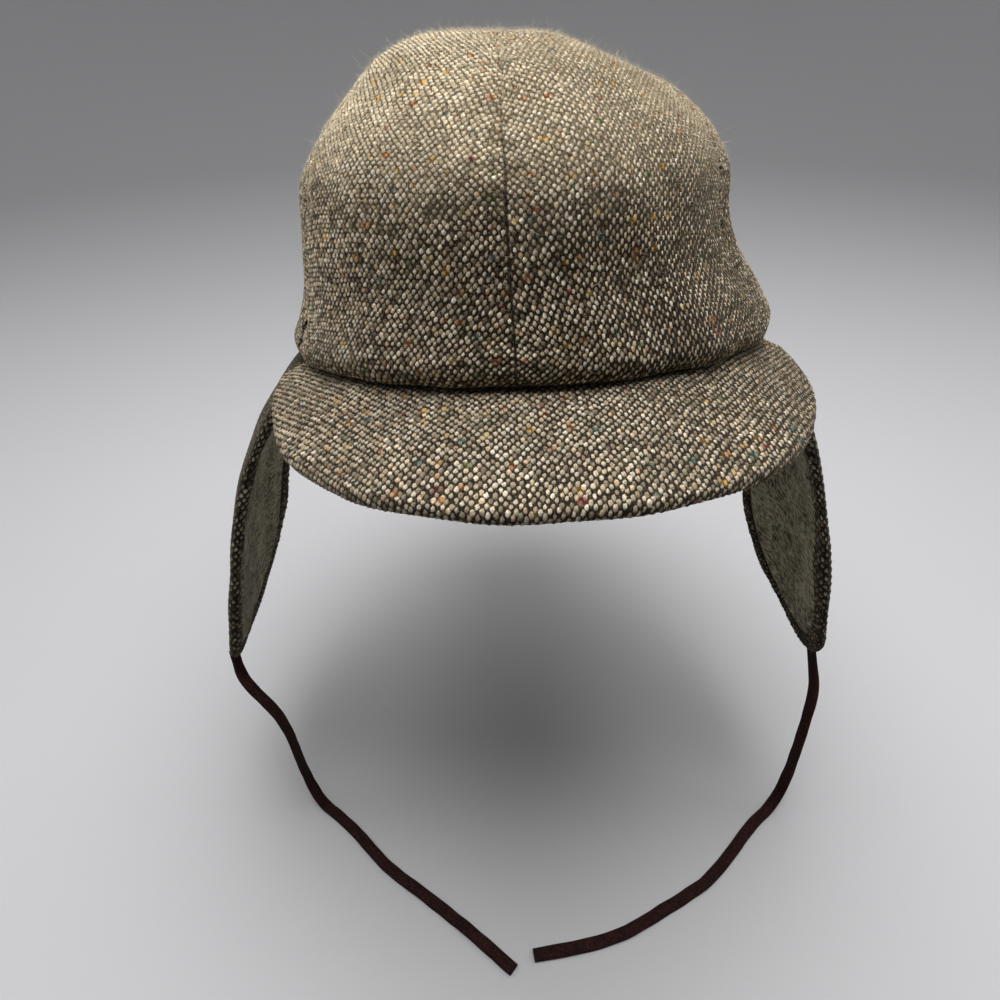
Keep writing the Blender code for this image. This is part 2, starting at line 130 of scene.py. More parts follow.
def add_piece(name, material, slot, points, quads=(), triangles=(), ngons=(), weave=None, seam=None):
    """Puts arrays of points, faces and weave coordinates into a smooth mesh that faces outwards.
    seam is a number for each point, the painted shade of a sewn seam: 1 deep in the seam and 0 away from
    it."""
    points = np.asarray(points, float).reshape(-1, 3)
    quads = np.asarray(quads, int).reshape(-1, 4)
    triangles = np.asarray(triangles, int).reshape(-1, 3)
    fans = [np.stack((np.full(len(ring) - 2, ring[0]), ring[1:-1], ring[2:]), -1) for ring in ngons]
    volume = signed_volume(points, quads, np.concatenate((triangles, *fans)))
    if volume < 0:
        quads, triangles = quads[:, ::-1], triangles[:, ::-1]
        ngons = [ring[::-1] for ring in ngons]
    corners = np.concatenate((quads.ravel(), triangles.ravel(), *ngons))
    ring_sizes = [len(ring) for ring in ngons]
    sizes = np.concatenate((np.full(len(quads), 4), np.full(len(triangles), 3), ring_sizes))
    starts = np.concatenate(([0], np.cumsum(sizes)[:-1])).astype(np.int32)
    mesh = bpy.data.meshes.new(name)
    mesh.vertices.add(len(points))
    mesh.vertices.foreach_set("co", points.astype(np.float32).ravel())
    mesh.loops.add(len(corners))
    mesh.loops.foreach_set("vertex_index", corners.astype(np.int32))
    mesh.polygons.add(len(starts))
    mesh.polygons.foreach_set("loop_start", starts)
    mesh.update(calc_edges=True)
    mesh.validate()
    mesh.shade_smooth()
    if weave is not None:
        layer = mesh.uv_layers.new(name="weave")
        layer.data.foreach_set("uv", np.asarray(weave, np.float32).reshape(-1, 2)[corners].ravel())
    # The seam numbers are painted shade, kept on the mesh for the tweed's colour.
    if seam is not None:
        depth = mesh.attributes.new("painted_seam_shade", "FLOAT", "POINT")
        depth.data.foreach_set("value", np.asarray(seam, np.float32))
    mesh.materials.append(material)
    piece = put_in_scene(name, mesh)
    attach(piece, "root")
    count = 2 * len(quads) + len(triangles) + sum(ring_sizes) - 2 * len(ngons)
    print(f"{name}: {count} triangles, {abs(volume) * 1e6:.2f} cm3")
    return piece


# %% [markdown]
# ## Smooth lines and gentle unevenness
#
# Cloth is never quite even. A handful of long sine waves in different directions gives a slow
# drift that repeats nowhere near itself, costs nothing, and comes out the same on every run.


# %% Smooth line and ripple
CURVE_STEPS = 400
SPAN_STEPS = 25
RIPPLE_WAVES = 6
RIPPLE_LENGTHS = (0.7, 1.5)
TINY = 1e-12


def unit(vectors):
    """The same directions, each of length one."""
    return vectors / np.maximum(np.linalg.norm(vectors, axis=-1, keepdims=True), TINY)


def lengths_along(line):
    """How far each point of a line is from its first point, measured along the line."""
    return np.r_[0.0, np.cumsum(np.linalg.norm(np.diff(line, axis=0), axis=1))]


def smooth_step(share):
    """Rises from 0 to 1, level at both ends: three squares less two cubes."""
    share = np.clip(share, 0, 1)
    return share * share * (3 - 2 * share)


def signed_power(value, power):
    """Power of a number's size that keeps its sign, which superellipses are made of."""
    return np.sign(value) * np.abs(value) ** power


def smooth_curve(points, count):
    """A Catmull-Rom curve through the points, sampled at even steps of its length."""
    points = np.asarray(points, float)
    knots = np.vstack((2 * points[0] - points[1], points, 2 * points[-1] - points[-2]))
    steps = np.linspace(0.0, 1.0, SPAN_STEPS, endpoint=False)[:, None]
    a, b, c, d = (knots[start : len(knots) - 3 + start, None] for start in range(4))
    spans = b + 0.5 * (
        (c - a) * steps
        + (2 * a - 5 * b + 4 * c - d) * steps**2
        + (3 * b - a - 3 * c + d) * steps**3
    )
    curve = np.vstack((spans.reshape(-1, points.shape[1]), points[-1:]))
    lengths = lengths_along(curve)
    wanted = np.linspace(0.0, lengths[-1], count)
    return np.stack([np.interp(wanted, lengths, column) for column in curve.T], -1)


def ripple(x, y, wave, seed):
    """Mostly between -1 and 1: sine waves, each with its own direction, start and a length near
    the given one, added up and divided by half their number."""
    rng = np.random.default_rng(seed)
    heading = rng.uniform(0, math.pi, RIPPLE_WAVES)
    lengths = wave * rng.uniform(*RIPPLE_LENGTHS, RIPPLE_WAVES)
    starts = rng.uniform(0, 2 * math.pi, RIPPLE_WAVES)
    total = np.zeros(np.broadcast(x, y).shape)
    for turn, length, start in zip(heading, lengths, starts):
        total += np.sin(2 * math.pi * (x * math.cos(turn) + y * math.sin(turn)) / length + start)
    return 2 * total / RIPPLE_WAVES


# %% [markdown]
# ## The laces
#
# Each ear flap ends in a thin suede lace. It hangs from the tip, touches down, and lies on the
# surface in one loose curve. It is cut from a flat skin, so it is wider than it is thick: a
# rounded strip is carried along the route. The strip leaves the flap with its flat side against
# the cloth, and turns until it lies flat. The cords come first, because their lengths and places
# are tested against what the camera sees.

# %% Routes of the laces
TABLE_Z = -0.2075
LACE_WIDTH = 0.0050
LACE_THICKNESS = 0.0019
LACE_RINGS = 170
LACE_SEWN_IN = 0.0045
LACE_SIDES = 16
LACE_SQUARENESS = 0.5
LACE_TURN = 0.25
LACE_FLAT_FROM = 0.030
LACE_FLAT_OVER = 0.026
LACE_CLEARANCE = 0.00005
CUT_UNEVEN = 0.05
CUT_WAVE = 0.011
CUT_SIDE_STEP = 0.004
LACE_ROUTES = {
    "left": (
        # x, y, z
        (0.1200, -0.0717, -0.1263),
        (0.1211, -0.0728, -0.1312),
        (0.1219, -0.0752, -0.1364),
        (0.1218, -0.0790, -0.1412),
        (0.1203, -0.0830, -0.1464),
        (0.1185, -0.0863, -0.1535),
        (0.1173, -0.0888, -0.1625),
        (0.1166, -0.0902, -0.1730),
        (0.1160, -0.0912, -0.1840),
        (0.1147, -0.0924, -0.1940),
        (0.1118, -0.0946, -0.2013),
        (0.1068, -0.0982, -0.2048),
        (0.1000, -0.1030, -0.2050),
        (0.0928, -0.1091, -0.2050),
        (0.0862, -0.1152, -0.2050),
        (0.0781, -0.1223, -0.2050),
        (0.0696, -0.1287, -0.2050),
        (0.0606, -0.1334, -0.2050),
        (0.0513, -0.1378, -0.2050),
        (0.0322, -0.1463, -0.2050),
        (0.0147, -0.1506, -0.2050),
        (-0.0070, -0.1531, -0.2050),
    ),
    "right": (
        # x, y, z
        (-0.1312, -0.0593, -0.1284),
        (-0.1303, -0.0615, -0.1328),
        (-0.1276, -0.0650, -0.1360),
        (-0.1235, -0.0690, -0.1382),
        (-0.1190, -0.0725, -0.1407),
        (-0.1150, -0.0750, -0.1445),
        (-0.1120, -0.0768, -0.1498),
        (-0.1102, -0.0777, -0.1568),
        (-0.1093, -0.0781, -0.1655),
        (-0.1087, -0.0783, -0.1750),
        (-0.1077, -0.0787, -0.1850),
        (-0.1059, -0.0798, -0.1945),
        (-0.1029, -0.0820, -0.2018),
        (-0.0984, -0.0853, -0.2050),
        (-0.0925, -0.0902, -0.2050),
        (-0.0830, -0.0992, -0.2050),
        (-0.0748, -0.1081, -0.2050),
        (-0.0670, -0.1158, -0.2050),
        (-0.0520, -0.1273, -0.2050),
        (-0.0345, -0.1412, -0.2050),
        (-0.0153, -0.1579, -0.2050),
    ),
}


def lace_frame(route):
    """Centres, width directions and thickness directions along a lace. The width points back
    and a little inwards while the lace hangs and lies level across it where it lies, and the
    centre sinks from the height of a round cord to that of a flat strip."""
    route = np.asarray(route, float)
    start = route[0] - LACE_SEWN_IN * unit(route[1] - route[0])
    centres = smooth_curve(np.vstack((start, route)), LACE_RINGS)
    height = centres[:, 2] - TABLE_Z
    lying = smooth_step((LACE_FLAT_FROM - height) / LACE_FLAT_OVER)[:, None]
    centres[:, 2] -= lying[:, 0] * (LACE_WIDTH - LACE_THICKNESS) / 2
    centres[:, 2] = np.maximum(centres[:, 2], TABLE_Z + LACE_THICKNESS / 2)
    along = unit(np.gradient(centres, axis=0))
    flat = unit(np.stack((along[:, 1], -along[:, 0], np.zeros(len(along))), -1))
    flat *= np.where(flat[:, 1:2] < 0, -1, 1)
    inwards = -LACE_TURN * np.sign(route[0, 0])
    wide = (1 - lying) * (inwards, 1.0, 0.0) + lying * flat
    wide = unit(wide - along * np.sum(wide * along, axis=1, keepdims=True))
    return centres, wide, np.cross(along, wide)


def lace_profile():
    """A rounded strip seen end on: a superellipse of the lace's width and thickness."""
    turn = np.linspace(0, 2 * math.pi, LACE_SIDES, endpoint=False)
    across = signed_power(np.cos(turn), LACE_SQUARENESS) * LACE_WIDTH / 2
    through = signed_power(np.sin(turn), LACE_SQUARENESS) * LACE_THICKNESS / 2
    return across, through


def lace(word, route, material):
    """Carries the strip's profile along its frame, with a slightly uneven cut edge, and closes
    both cut ends."""
    centres, wide, thick = lace_frame(route)
    across, through = lace_profile()
    lengths = lengths_along(centres)
    side = np.arange(LACE_SIDES)[None, :]
    uneven = 1 + CUT_UNEVEN * ripple(lengths[:, None], side * CUT_SIDE_STEP, CUT_WAVE, len(word))
    points = centres[:, None] + uneven[..., None] * (
        across[None, :, None] * wide[:, None] + through[None, :, None] * thick[:, None]
    )
    points[..., 2] = np.maximum(points[..., 2], TABLE_Z + LACE_CLEARANCE)
    ring = grid_numbers(LACE_RINGS, LACE_SIDES)
    quads = cell_corners(np.hstack((ring, ring[:, :1])))
    weave = np.stack(np.broadcast_arrays(side / LACE_SIDES, lengths[:, None] / LACE_WIDTH), -1)
    caps = [ring[0][::-1], ring[-1]]
    name = f"suede_lace_{word}"
    piece = add_piece(name, material, "suede_lace", points, quads, ngons=caps, weave=weave)
    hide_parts(f"tie_cord_{word}")


# %% [markdown]
# ## Node helpers
#
# Materials are trees of small nodes. An effect that several finishes share, such as a fibrous nap,
# is a node group: built once, with named inputs and outputs, then placed in each material with its
# own values. The shader itself stays in the material.


# %% Node helpers
MIX_SHARE, MIX_FIRST, MIX_SECOND, MIX_RESULT = 0, 6, 7, 2


def node_group(name, inputs, outputs):
    """An empty shader group with the named sockets. Returns the group, the outputs of its input
    node and its output node."""
    group = bpy.data.node_groups.new(name, "ShaderNodeTree")
    for label, kind, value in inputs:
        socket = group.interface.new_socket(label, in_out="INPUT", socket_type=kind)
        socket.default_value = value
    for label, kind in outputs:
        group.interface.new_socket(label, in_out="OUTPUT", socket_type=kind)
    given = group.nodes.new("NodeGroupInput").outputs
    return group, given[: len(inputs)], group.nodes.new("NodeGroupOutput")


def feed(tree, socket, value):
    """Links a socket to another node's output, or sets its value."""
    if isinstance(value, bpy.types.NodeSocket):
        tree.links.new(value, socket)
    else:
        socket.default_value = value


def calculate(tree, operation, first, second=0.0, third=0.0):
    """A Math node: one number from up to three."""
    node = tree.nodes.new("ShaderNodeMath")
    node.operation = operation
    for socket, value in zip(node.inputs, (first, second, third)):
        feed(tree, socket, value)
    return node.outputs[0]


def times(tree, first, second):
    """First times second."""
    return calculate(tree, "MULTIPLY", first, second)


def times_plus(tree, first, second, third):
    """First times second, plus third."""
    return calculate(tree, "MULTIPLY_ADD", first, second, third)


def fade(tree, value, low, high, low_out=0.0, high_out=1.0):
    """Maps a value smoothly from one range to another."""
    node = tree.nodes.new("ShaderNodeMapRange")
    node.interpolation_type = "SMOOTHSTEP"
    labels = ("Value", "From Min", "From Max", "To Min", "To Max")
    for label, number in zip(labels, (value, low, high, low_out, high_out)):
        feed(tree, node.inputs[label], number)
    return node.outputs["Result"]


def mix_colour(tree, share, first, second, blend="MIX"):
    """A Mix node set to colour, which has its colour sockets after those of the other kinds."""
    node = tree.nodes.new("ShaderNodeMix")
    node.data_type = "RGBA"
    node.blend_type = blend
    for socket, value in zip((MIX_SHARE, MIX_FIRST, MIX_SECOND), (share, first, second)):
        feed(tree, node.inputs[socket], value)
    return node.outputs[MIX_RESULT]


def colour_ramp(tree, value, stops, interpolation="LINEAR"):
    """Stops are (position, colour) pairs."""
    node = tree.nodes.new("ShaderNodeValToRGB")
    ramp = node.color_ramp
    ramp.interpolation = interpolation
    while len(ramp.elements) < len(stops):
        ramp.elements.new(1.0)
    for element, (position, colour) in zip(ramp.elements, stops):
        element.position = position
        element.color = (*colour, 1.0)
    feed(tree, node.inputs[0], value)
    return node.outputs[0]


def noise(tree, vector, scale, detail=2.0, roughness=0.5):
    """A Noise texture's number, around one half."""
    node = tree.nodes.new("ShaderNodeTexNoise")
    for label, value in zip(("Vector", "Scale", "Detail", "Roughness"), (vector, scale, detail, roughness)):
        feed(tree, node.inputs[label], value)
    return node.outputs[0]


def voronoi(tree, vector, randomness):
    """Outputs of a flat Voronoi texture whose points are scattered round the whole numbers."""
    node = tree.nodes.new("ShaderNodeTexVoronoi")
    node.voronoi_dimensions = "2D"
    for label, value in zip(("Vector", "Scale", "Randomness"), (vector, 1.0, randomness)):
        feed(tree, node.inputs[label], value)
    return node.outputs


def split(tree, vector):
    """The three numbers of a vector or colour."""
    node = tree.nodes.new("ShaderNodeSeparateXYZ")
    feed(tree, node.inputs[0], vector)
    return node.outputs


def combine(tree, x, y, z=0.0):
    """A vector of three numbers."""
    node = tree.nodes.new("ShaderNodeCombineXYZ")
    for socket, value in zip(node.inputs, (x, y, z)):
        feed(tree, socket, value)
    return node.outputs[0]


# %% [markdown]
# ## Tweed
#
# The cloth is a plain weave of a pale, thick weft over a dark, thinner warp. Each pale yarn comes
# up over every second dark one, so pale nubs stand in a chequered field with dark gaps between
# them. The weave coordinates on each piece count yarns: one unit is one yarn. Half their sum and
# half their difference turn the chequer into a square field with one nub at each whole number,
# which is just what a Voronoi texture needs: its points give the nubs' middles, and its random
# colours pick each nub's wool.

# %% Nubs
NUB_HALF_WIDTH = 0.50
NUB_HALF_HEIGHT = 0.60
NUB_LEAN = 0.12
NUB_SCATTER = 0.30
NUB_EDGE = (0.98, 0.72)
RAGGED_SCALE = 2.4
RAGGED_SHARE = 1.90
SLUB_STRETCH = (0.11, 0.80)
SLUB_SHARE = 0.7
SWELL_SHARE = 0.30
FUZZ_SHARE = 0.10


def nub_cell(tree, summed, turned):
    """Field of nubs, one at each whole number. Returns how far a point is from its nub's middle
    in nub radii, across, up, and as a whole, and the nub's three random numbers."""
    field = voronoi(tree, combine(tree, summed, turned), NUB_SCATTER)
    middle_summed, middle_turned, _ = split(tree, field["Position"])
    summed = calculate(tree, "SUBTRACT", summed, middle_summed)
    turned = calculate(tree, "SUBTRACT", turned, middle_turned)
    across = calculate(tree, "ADD", summed, turned)
    up = calculate(tree, "SUBTRACT", summed, turned)
    leaned = times(tree, times_plus(tree, up, -NUB_LEAN, across), 1 / NUB_HALF_WIDTH)
    up = times(tree, up, 1 / NUB_HALF_HEIGHT)
    square = times_plus(tree, leaned, leaned, times(tree, up, up))
    return leaned, up, calculate(tree, "SQRT", square), split(tree, field["Color"])


def nub_edge(tree, weave, distance, ragged, swell, fuzz_and_top_light, size):
    """The distance from a nub's middle, disturbed: by fine ragged noise, by slubs, which are thick and thin
    stretches along a yarn, by the nub's own swell, and less where the cloth is fuzzy and painted lighter on
    top."""
    x, y, _ = split(tree, weave)
    place = combine(tree, times(tree, x, SLUB_STRETCH[0]), times(tree, y, SLUB_STRETCH[1]))
    slub = calculate(tree, "SUBTRACT", noise(tree, place, 1.0, 1.0), 0.5)
    edge = times_plus(tree, ragged, RAGGED_SHARE, distance)
    edge = times_plus(tree, slub, SLUB_SHARE, edge)
    edge = times_plus(tree, swell, -SWELL_SHARE, calculate(tree, "ADD", edge, SWELL_SHARE / 2))
    edge = times_plus(tree, fuzz_and_top_light, -FUZZ_SHARE, edge)
    return calculate(tree, "DIVIDE", edge, size)


# %% [markdown]
# The pale weft is spun from wools of several shades. Each nub gets painted light on its rounded upper side
# and painted shade on its lower side, a fine grain roughens them, and fuzz pulls them towards the colour of
# loose hair, which on the crown's top is partly painted light.

# %% Pale wool
PALE_WOOLS = (
    (0.00, (0.090, 0.064, 0.040)),
    (0.14, (0.200, 0.155, 0.102)),
    (0.38, (0.380, 0.318, 0.232)),
    (0.66, (0.540, 0.470, 0.360)),
    (0.86, (0.760, 0.690, 0.565)),
    (0.93, (0.480, 0.350, 0.205)),
    (1.00, (0.640, 0.520, 0.360)),
)
MIDDLE_WOOL = (0.520, 0.440, 0.320, 1)
WOOL_TINTS = (
    (0.0, (0.86, 0.90, 0.82)),
    (0.3, (1.0, 1.0, 1.0)),
    (0.7, (1.0, 0.95, 0.87)),
    (1.0, (1.04, 0.92, 0.82)),
)
TINT_SHARE = 0.8
# The colour of loose hair over the pale nubs, rising with height on the crown: partly fuzz, partly painted
# light on its top.
FUZZ_AND_TOP_LIGHT_COLOUR = (0.600, 0.500, 0.335, 1)
FUZZ_AND_TOP_LIGHT_COVER = 0.6
LIT_ACROSS = -0.20
LIT_UP = 0.40
LIT_MIDDLE = 0.95
GRAIN_SCALE = 2.6
GRAIN_RANGE = (0.34, 0.66, 0.50, 1.42)


def pale_wool(tree, weave, across, up, pick, tint, fuzz_and_top_light, evenness):
    """Colour of the nubs: a shade and a tint for each, times painted light that is lighter on its upper
    side, times the grain.
    """
    wool = mix_colour(tree, evenness, colour_ramp(tree, pick, PALE_WOOLS), MIDDLE_WOOL)
    wool = mix_colour(tree, TINT_SHARE, wool, colour_ramp(tree, tint, WOOL_TINTS), "MULTIPLY")
    wool = mix_colour(tree, times(tree, fuzz_and_top_light, FUZZ_AND_TOP_LIGHT_COVER), wool, FUZZ_AND_TOP_LIGHT_COLOUR)
    # Painted light and shade on each nub: lighter on its upper side, darker on its lower side.
    painted_nub_light = times_plus(tree, across, LIT_ACROSS, times_plus(tree, up, LIT_UP, LIT_MIDDLE))
    grain = fade(tree, noise(tree, weave, GRAIN_SCALE, 3.0, 0.85), *GRAIN_RANGE)
    return mix_colour(tree, 1.0, wool, times(tree, painted_nub_light, grain), "MULTIPLY")


# %% [markdown]
# The dark warp shows between the nubs as small dark nubs of its own, half a step on in both directions.
# Where the cloth is fuzzy, loose hairs lie over these gaps, which also paints the top of the crown lighter:
# partly fuzz, partly painted light.

# %% Dark wool
DARK_WOOL = (0.012, 0.008, 0.005, 1)
DARK_WOOL_LIT = (0.070, 0.048, 0.028, 1)
DARK_EDGE = (0.95, 0.1)
# Loose hair over the dark gaps, rising with height on the crown: partly fuzz, partly painted light on its
# top.
LOOSE_HAIR_AND_TOP_LIGHT_COLOUR = (0.360, 0.290, 0.190, 1)
HAIR_SCALE = 2.6
HAIR_RANGE = (0.35, 0.65)
HAIR_COVER = 0.85


def dark_wool(tree, weave, summed, turned, dark, fuzz_and_top_light):
    """Colour between the pale nubs, and how far up its small dark nubs stand."""
    half = calculate(tree, "ADD", summed, 0.5)
    other_half = calculate(tree, "ADD", turned, 0.5)
    _, _, distance, (pick, _, _) = nub_cell(tree, half, other_half)
    stands = fade(tree, distance, *DARK_EDGE)
    # The raised middle of each small dark nub is lighter by a random share: partly random tone, partly
    # painted light on its top.
    ground = mix_colour(tree, stands, dark, mix_colour(tree, pick, dark, DARK_WOOL_LIT))
    loose = fade(tree, noise(tree, weave, HAIR_SCALE, 2.0, 0.6), *HAIR_RANGE)
    cover = times(tree, times(tree, fuzz_and_top_light, loose), HAIR_COVER)
    return mix_colour(tree, cover, ground, LOOSE_HAIR_AND_TOP_LIGHT_COLOUR), stands


# %% [markdown]
# The flecks are tufts of dyed wool, spun into the yarn here and there. A second, much
# coarser field drops them: its distance gives the tuft's ragged blot, and its random numbers
# decide whether there is one, how big it is and which dye it has.

# %% Flecks
FLECK_WOOLS = (
    (0.00, (0.480, 0.270, 0.060)),
    (0.20, (0.350, 0.135, 0.045)),
    (0.34, (0.220, 0.050, 0.038)),
    (0.42, (0.052, 0.120, 0.092)),
    (0.54, (0.130, 0.140, 0.055)),
    (0.66, (0.340, 0.165, 0.070)),
    (0.78, (0.460, 0.340, 0.160)),
    (0.90, (0.055, 0.085, 0.075)),
)
FLECK_SPACING = (0.20, 0.30)
FLECK_RAGGED = 0.25
FLECK_LEAST = 0.09
FLECK_GROWTH = 0.19
FLECK_SOFTNESS = 0.08
FLECK_CHOICE = (0.45, 0.80)
FLECK_STRENGTH = 0.88
FLECK_SHADE = (0.30, 1.15)


def flecked(tree, cloth, weave, ragged, nub):
    """The cloth's colour with the flecks laid over it, darker in the gaps between the nubs."""
    x, y, _ = split(tree, weave)
    place = [
        times_plus(tree, ragged, FLECK_RAGGED, times(tree, count, spacing))
        for count, spacing in zip((x, y), FLECK_SPACING)
    ]
    field = voronoi(tree, combine(tree, *place), 1.0)
    pick, kind, size = split(tree, field["Color"])
    reach = times_plus(tree, size, FLECK_GROWTH, FLECK_LEAST)
    past = calculate(tree, "SUBTRACT", field["Distance"], reach)
    spot = fade(tree, past, FLECK_SOFTNESS, -FLECK_SOFTNESS)
    strength = times(tree, times(tree, spot, fade(tree, pick, *FLECK_CHOICE)), FLECK_STRENGTH)
    fleck = colour_ramp(tree, kind, FLECK_WOOLS, "CONSTANT")
    fleck = mix_colour(tree, 1.0, fleck, fade(tree, nub, 0.0, 1.0, *FLECK_SHADE), "MULTIPLY")
    return mix_colour(tree, strength, cloth, fleck)


# %% Tweed group
DRIFT_SCALE = 0.045
DRIFT_RANGE = (0.3, 0.7, 0.84, 1.14)
SEAM_DARKNESS = 0.06
FIBRE_SCALE = 4.0
FIBRE_HEIGHT = 0.55
DARK_HEIGHT = 0.30


def make_tweed_group():
    """Nubs over dark gaps, with flecks, times a slow drift, the painted light level and the painted shade
    of the seams.
    """
    tree, given, end = node_group(
        "flecked_weave",
        [
            ("Weave", "NodeSocketVector", (0, 0, 0)),
            ("Dark Wool", "NodeSocketColor", DARK_WOOL),
            ("Nub Size", "NodeSocketFloat", 1.0),
            ("Painted Light Level", "NodeSocketFloat", 1.0),
            ("Fuzz And Painted Top Light", "NodeSocketFloat", 0.0),
            ("Seam", "NodeSocketFloat", 0.0),
            ("Evenness", "NodeSocketFloat", 0.0),
        ],
        [("Color", "NodeSocketColor"), ("Height", "NodeSocketFloat")],
    )
    weave, dark, size, painted_light_level, fuzz_and_top_light, seam, evenness = given
    x, y, _ = split(tree, weave)
    summed = times(tree, calculate(tree, "ADD", x, y), 0.5)
    turned = times(tree, calculate(tree, "SUBTRACT", x, y), 0.5)
    across, up, distance, (pick, tint, swell) = nub_cell(tree, summed, turned)
    ragged = calculate(tree, "SUBTRACT", noise(tree, weave, RAGGED_SCALE, 4.0, 0.85), 0.5)
    nub = fade(tree, nub_edge(tree, weave, distance, ragged, swell, fuzz_and_top_light, size), *NUB_EDGE)
    wool = pale_wool(tree, weave, across, up, pick, tint, fuzz_and_top_light, evenness)
    ground, dark_nub = dark_wool(tree, weave, summed, turned, dark, fuzz_and_top_light)
    cloth = flecked(tree, mix_colour(tree, nub, ground, wool), weave, ragged, nub)
    drift = fade(tree, noise(tree, weave, DRIFT_SCALE, 2.0), *DRIFT_RANGE)
    # Painted shade in the seams: the colour darkens to SEAM_DARKNESS deep in a seam.
    shadow = fade(tree, seam, 0.0, 1.0, 1.0, SEAM_DARKNESS)
    # The colour is scaled by the slow drift, by the piece's painted light level and by the painted shade of
    # the seams.
    level = times(tree, times(tree, drift, painted_light_level), shadow)
    fibre = noise(tree, weave, FIBRE_SCALE, 3.0, 0.6)
    height = times_plus(tree, fibre, FIBRE_HEIGHT, times_plus(tree, dark_nub, DARK_HEIGHT, nub))
    feed(tree, end.inputs["Color"], mix_colour(tree, 1.0, cloth, level, "MULTIPLY"))
    feed(tree, end.inputs["Height"], height)
    return tree


tweed_group = make_tweed_group()
print("flecked_weave group:", len(tweed_group.nodes), "nodes")

# %% [markdown]
# ## Nap
#
# Felt and suede are both a mat of short fibres. One group makes it: a slow mottle, and two layers
# of fine stretched fibres that lean opposite ways. Felt gets it pale and broad, suede dark and fine.

# %% Nap group
MOTTLE_SCALE = 0.10
MOTTLE_SHARE = 0.25
FIBRE_SQUASH = 0.4
FALLEN_SQUASH = 0.5
FALLEN_SCALE = 0.8
NAP_RANGE = (0.42, 0.67)


def make_nap_group():
    """The higher of two leaning fibre noises, with a little of the mottle, between two colours."""
    tree, (vector, scale, low, high), end = node_group(
        "fibre_nap",
        [
            ("Vector", "NodeSocketVector", (0, 0, 0)),
            ("Fibre Scale", "NodeSocketFloat", 900.0),
            ("Low", "NodeSocketColor", (0.1, 0.1, 0.1, 1)),
            ("High", "NodeSocketColor", (0.4, 0.4, 0.4, 1)),
        ],
        [("Color", "NodeSocketColor"), ("Height", "NodeSocketFloat")],
    )
    mottle = noise(tree, vector, times(tree, scale, MOTTLE_SCALE), 3.0, 0.6)
    x, y, z = split(tree, vector)
    leaning = combine(tree, calculate(tree, "ADD", x, z), times(tree, y, FIBRE_SQUASH), z)
    fallen = combine(tree, times(tree, x, FALLEN_SQUASH), calculate(tree, "SUBTRACT", y, z), z)
    fibre = noise(tree, leaning, scale, 2.0, 0.6)
    fallen_fibre = noise(tree, fallen, times(tree, scale, FALLEN_SCALE), 2.0, 0.6)
    crossing = times(tree, calculate(tree, "MAXIMUM", fibre, fallen_fibre), 1 - MOTTLE_SHARE)
    blend = times_plus(tree, mottle, MOTTLE_SHARE, crossing)
    feed(tree, end.inputs["Color"], mix_colour(tree, fade(tree, blend, *NAP_RANGE), low, high))
    feed(tree, end.inputs["Height"], blend)
    return tree


nap_group = make_nap_group()
print("fibre_nap group:", len(nap_group.nodes), "nodes")

# %% [markdown]
# ## The materials
#
# Each finish is one Principled shader with a group for its colour and its fine relief. The same tweed is
# used three times, each with its own painted light level: the crown painted lighter, the peak a little
# darker, and the flaps much darker, as painted shade where they hang.

# %% Materials
CLOTH_ROUGHNESS = 0.92
BUMP_STRENGTH = 0.9
TWEED_SHEEN = (0.95, 0.85, 0.66)
TWEED_BUMP = 0.0006
FELT_SHEEN = (0.80, 0.76, 0.64)
WOOL_SHEEN = (0.90, 0.82, 0.62)
SUEDE_SHEEN = (0.50, 0.25, 0.20)
# From FUZZY_FROM up to FUZZY_TO in height the crown turns paler: partly fuzz, partly painted light on its
# top.
FUZZY_FROM = 0.060
FUZZY_TO = 0.100
FUZZY_SCALE = 45.0
FUZZY_UNEVEN = 0.03
FUZZY_MOST = 0.80


def new_material(name, sheen, sheen_roughness, sheen_tint, specular):
    """A rough cloth shader. What is the same all over the surface is set on its own sockets."""
    material = bpy.data.materials.new(name)
    material.use_nodes = True
    shader = material.node_tree.nodes["Principled BSDF"]
    shader.inputs["Roughness"].default_value = CLOTH_ROUGHNESS
    shader.inputs["Specular IOR Level"].default_value = specular
    shader.inputs["Sheen Weight"].default_value = sheen
    shader.inputs["Sheen Roughness"].default_value = sheen_roughness
    shader.inputs["Sheen Tint"].default_value = (*sheen_tint, 1.0)
    return material, material.node_tree, shader


def place_group(tree, group, shader, bump_distance, values):
    """Puts a group in a material: its colour goes to the shader and its height to a bump."""
    node = tree.nodes.new("ShaderNodeGroup")
    node.node_tree = group
    for label, value in values.items():
        feed(tree, node.inputs[label], value)
    bump = tree.nodes.new("ShaderNodeBump")
    bump.inputs["Distance"].default_value = bump_distance
    bump.inputs["Strength"].default_value = BUMP_STRENGTH
    tree.links.new(node.outputs["Height"], bump.inputs["Height"])
    tree.links.new(node.outputs["Color"], shader.inputs["Base Color"])
    tree.links.new(bump.outputs["Normal"], shader.inputs["Normal"])


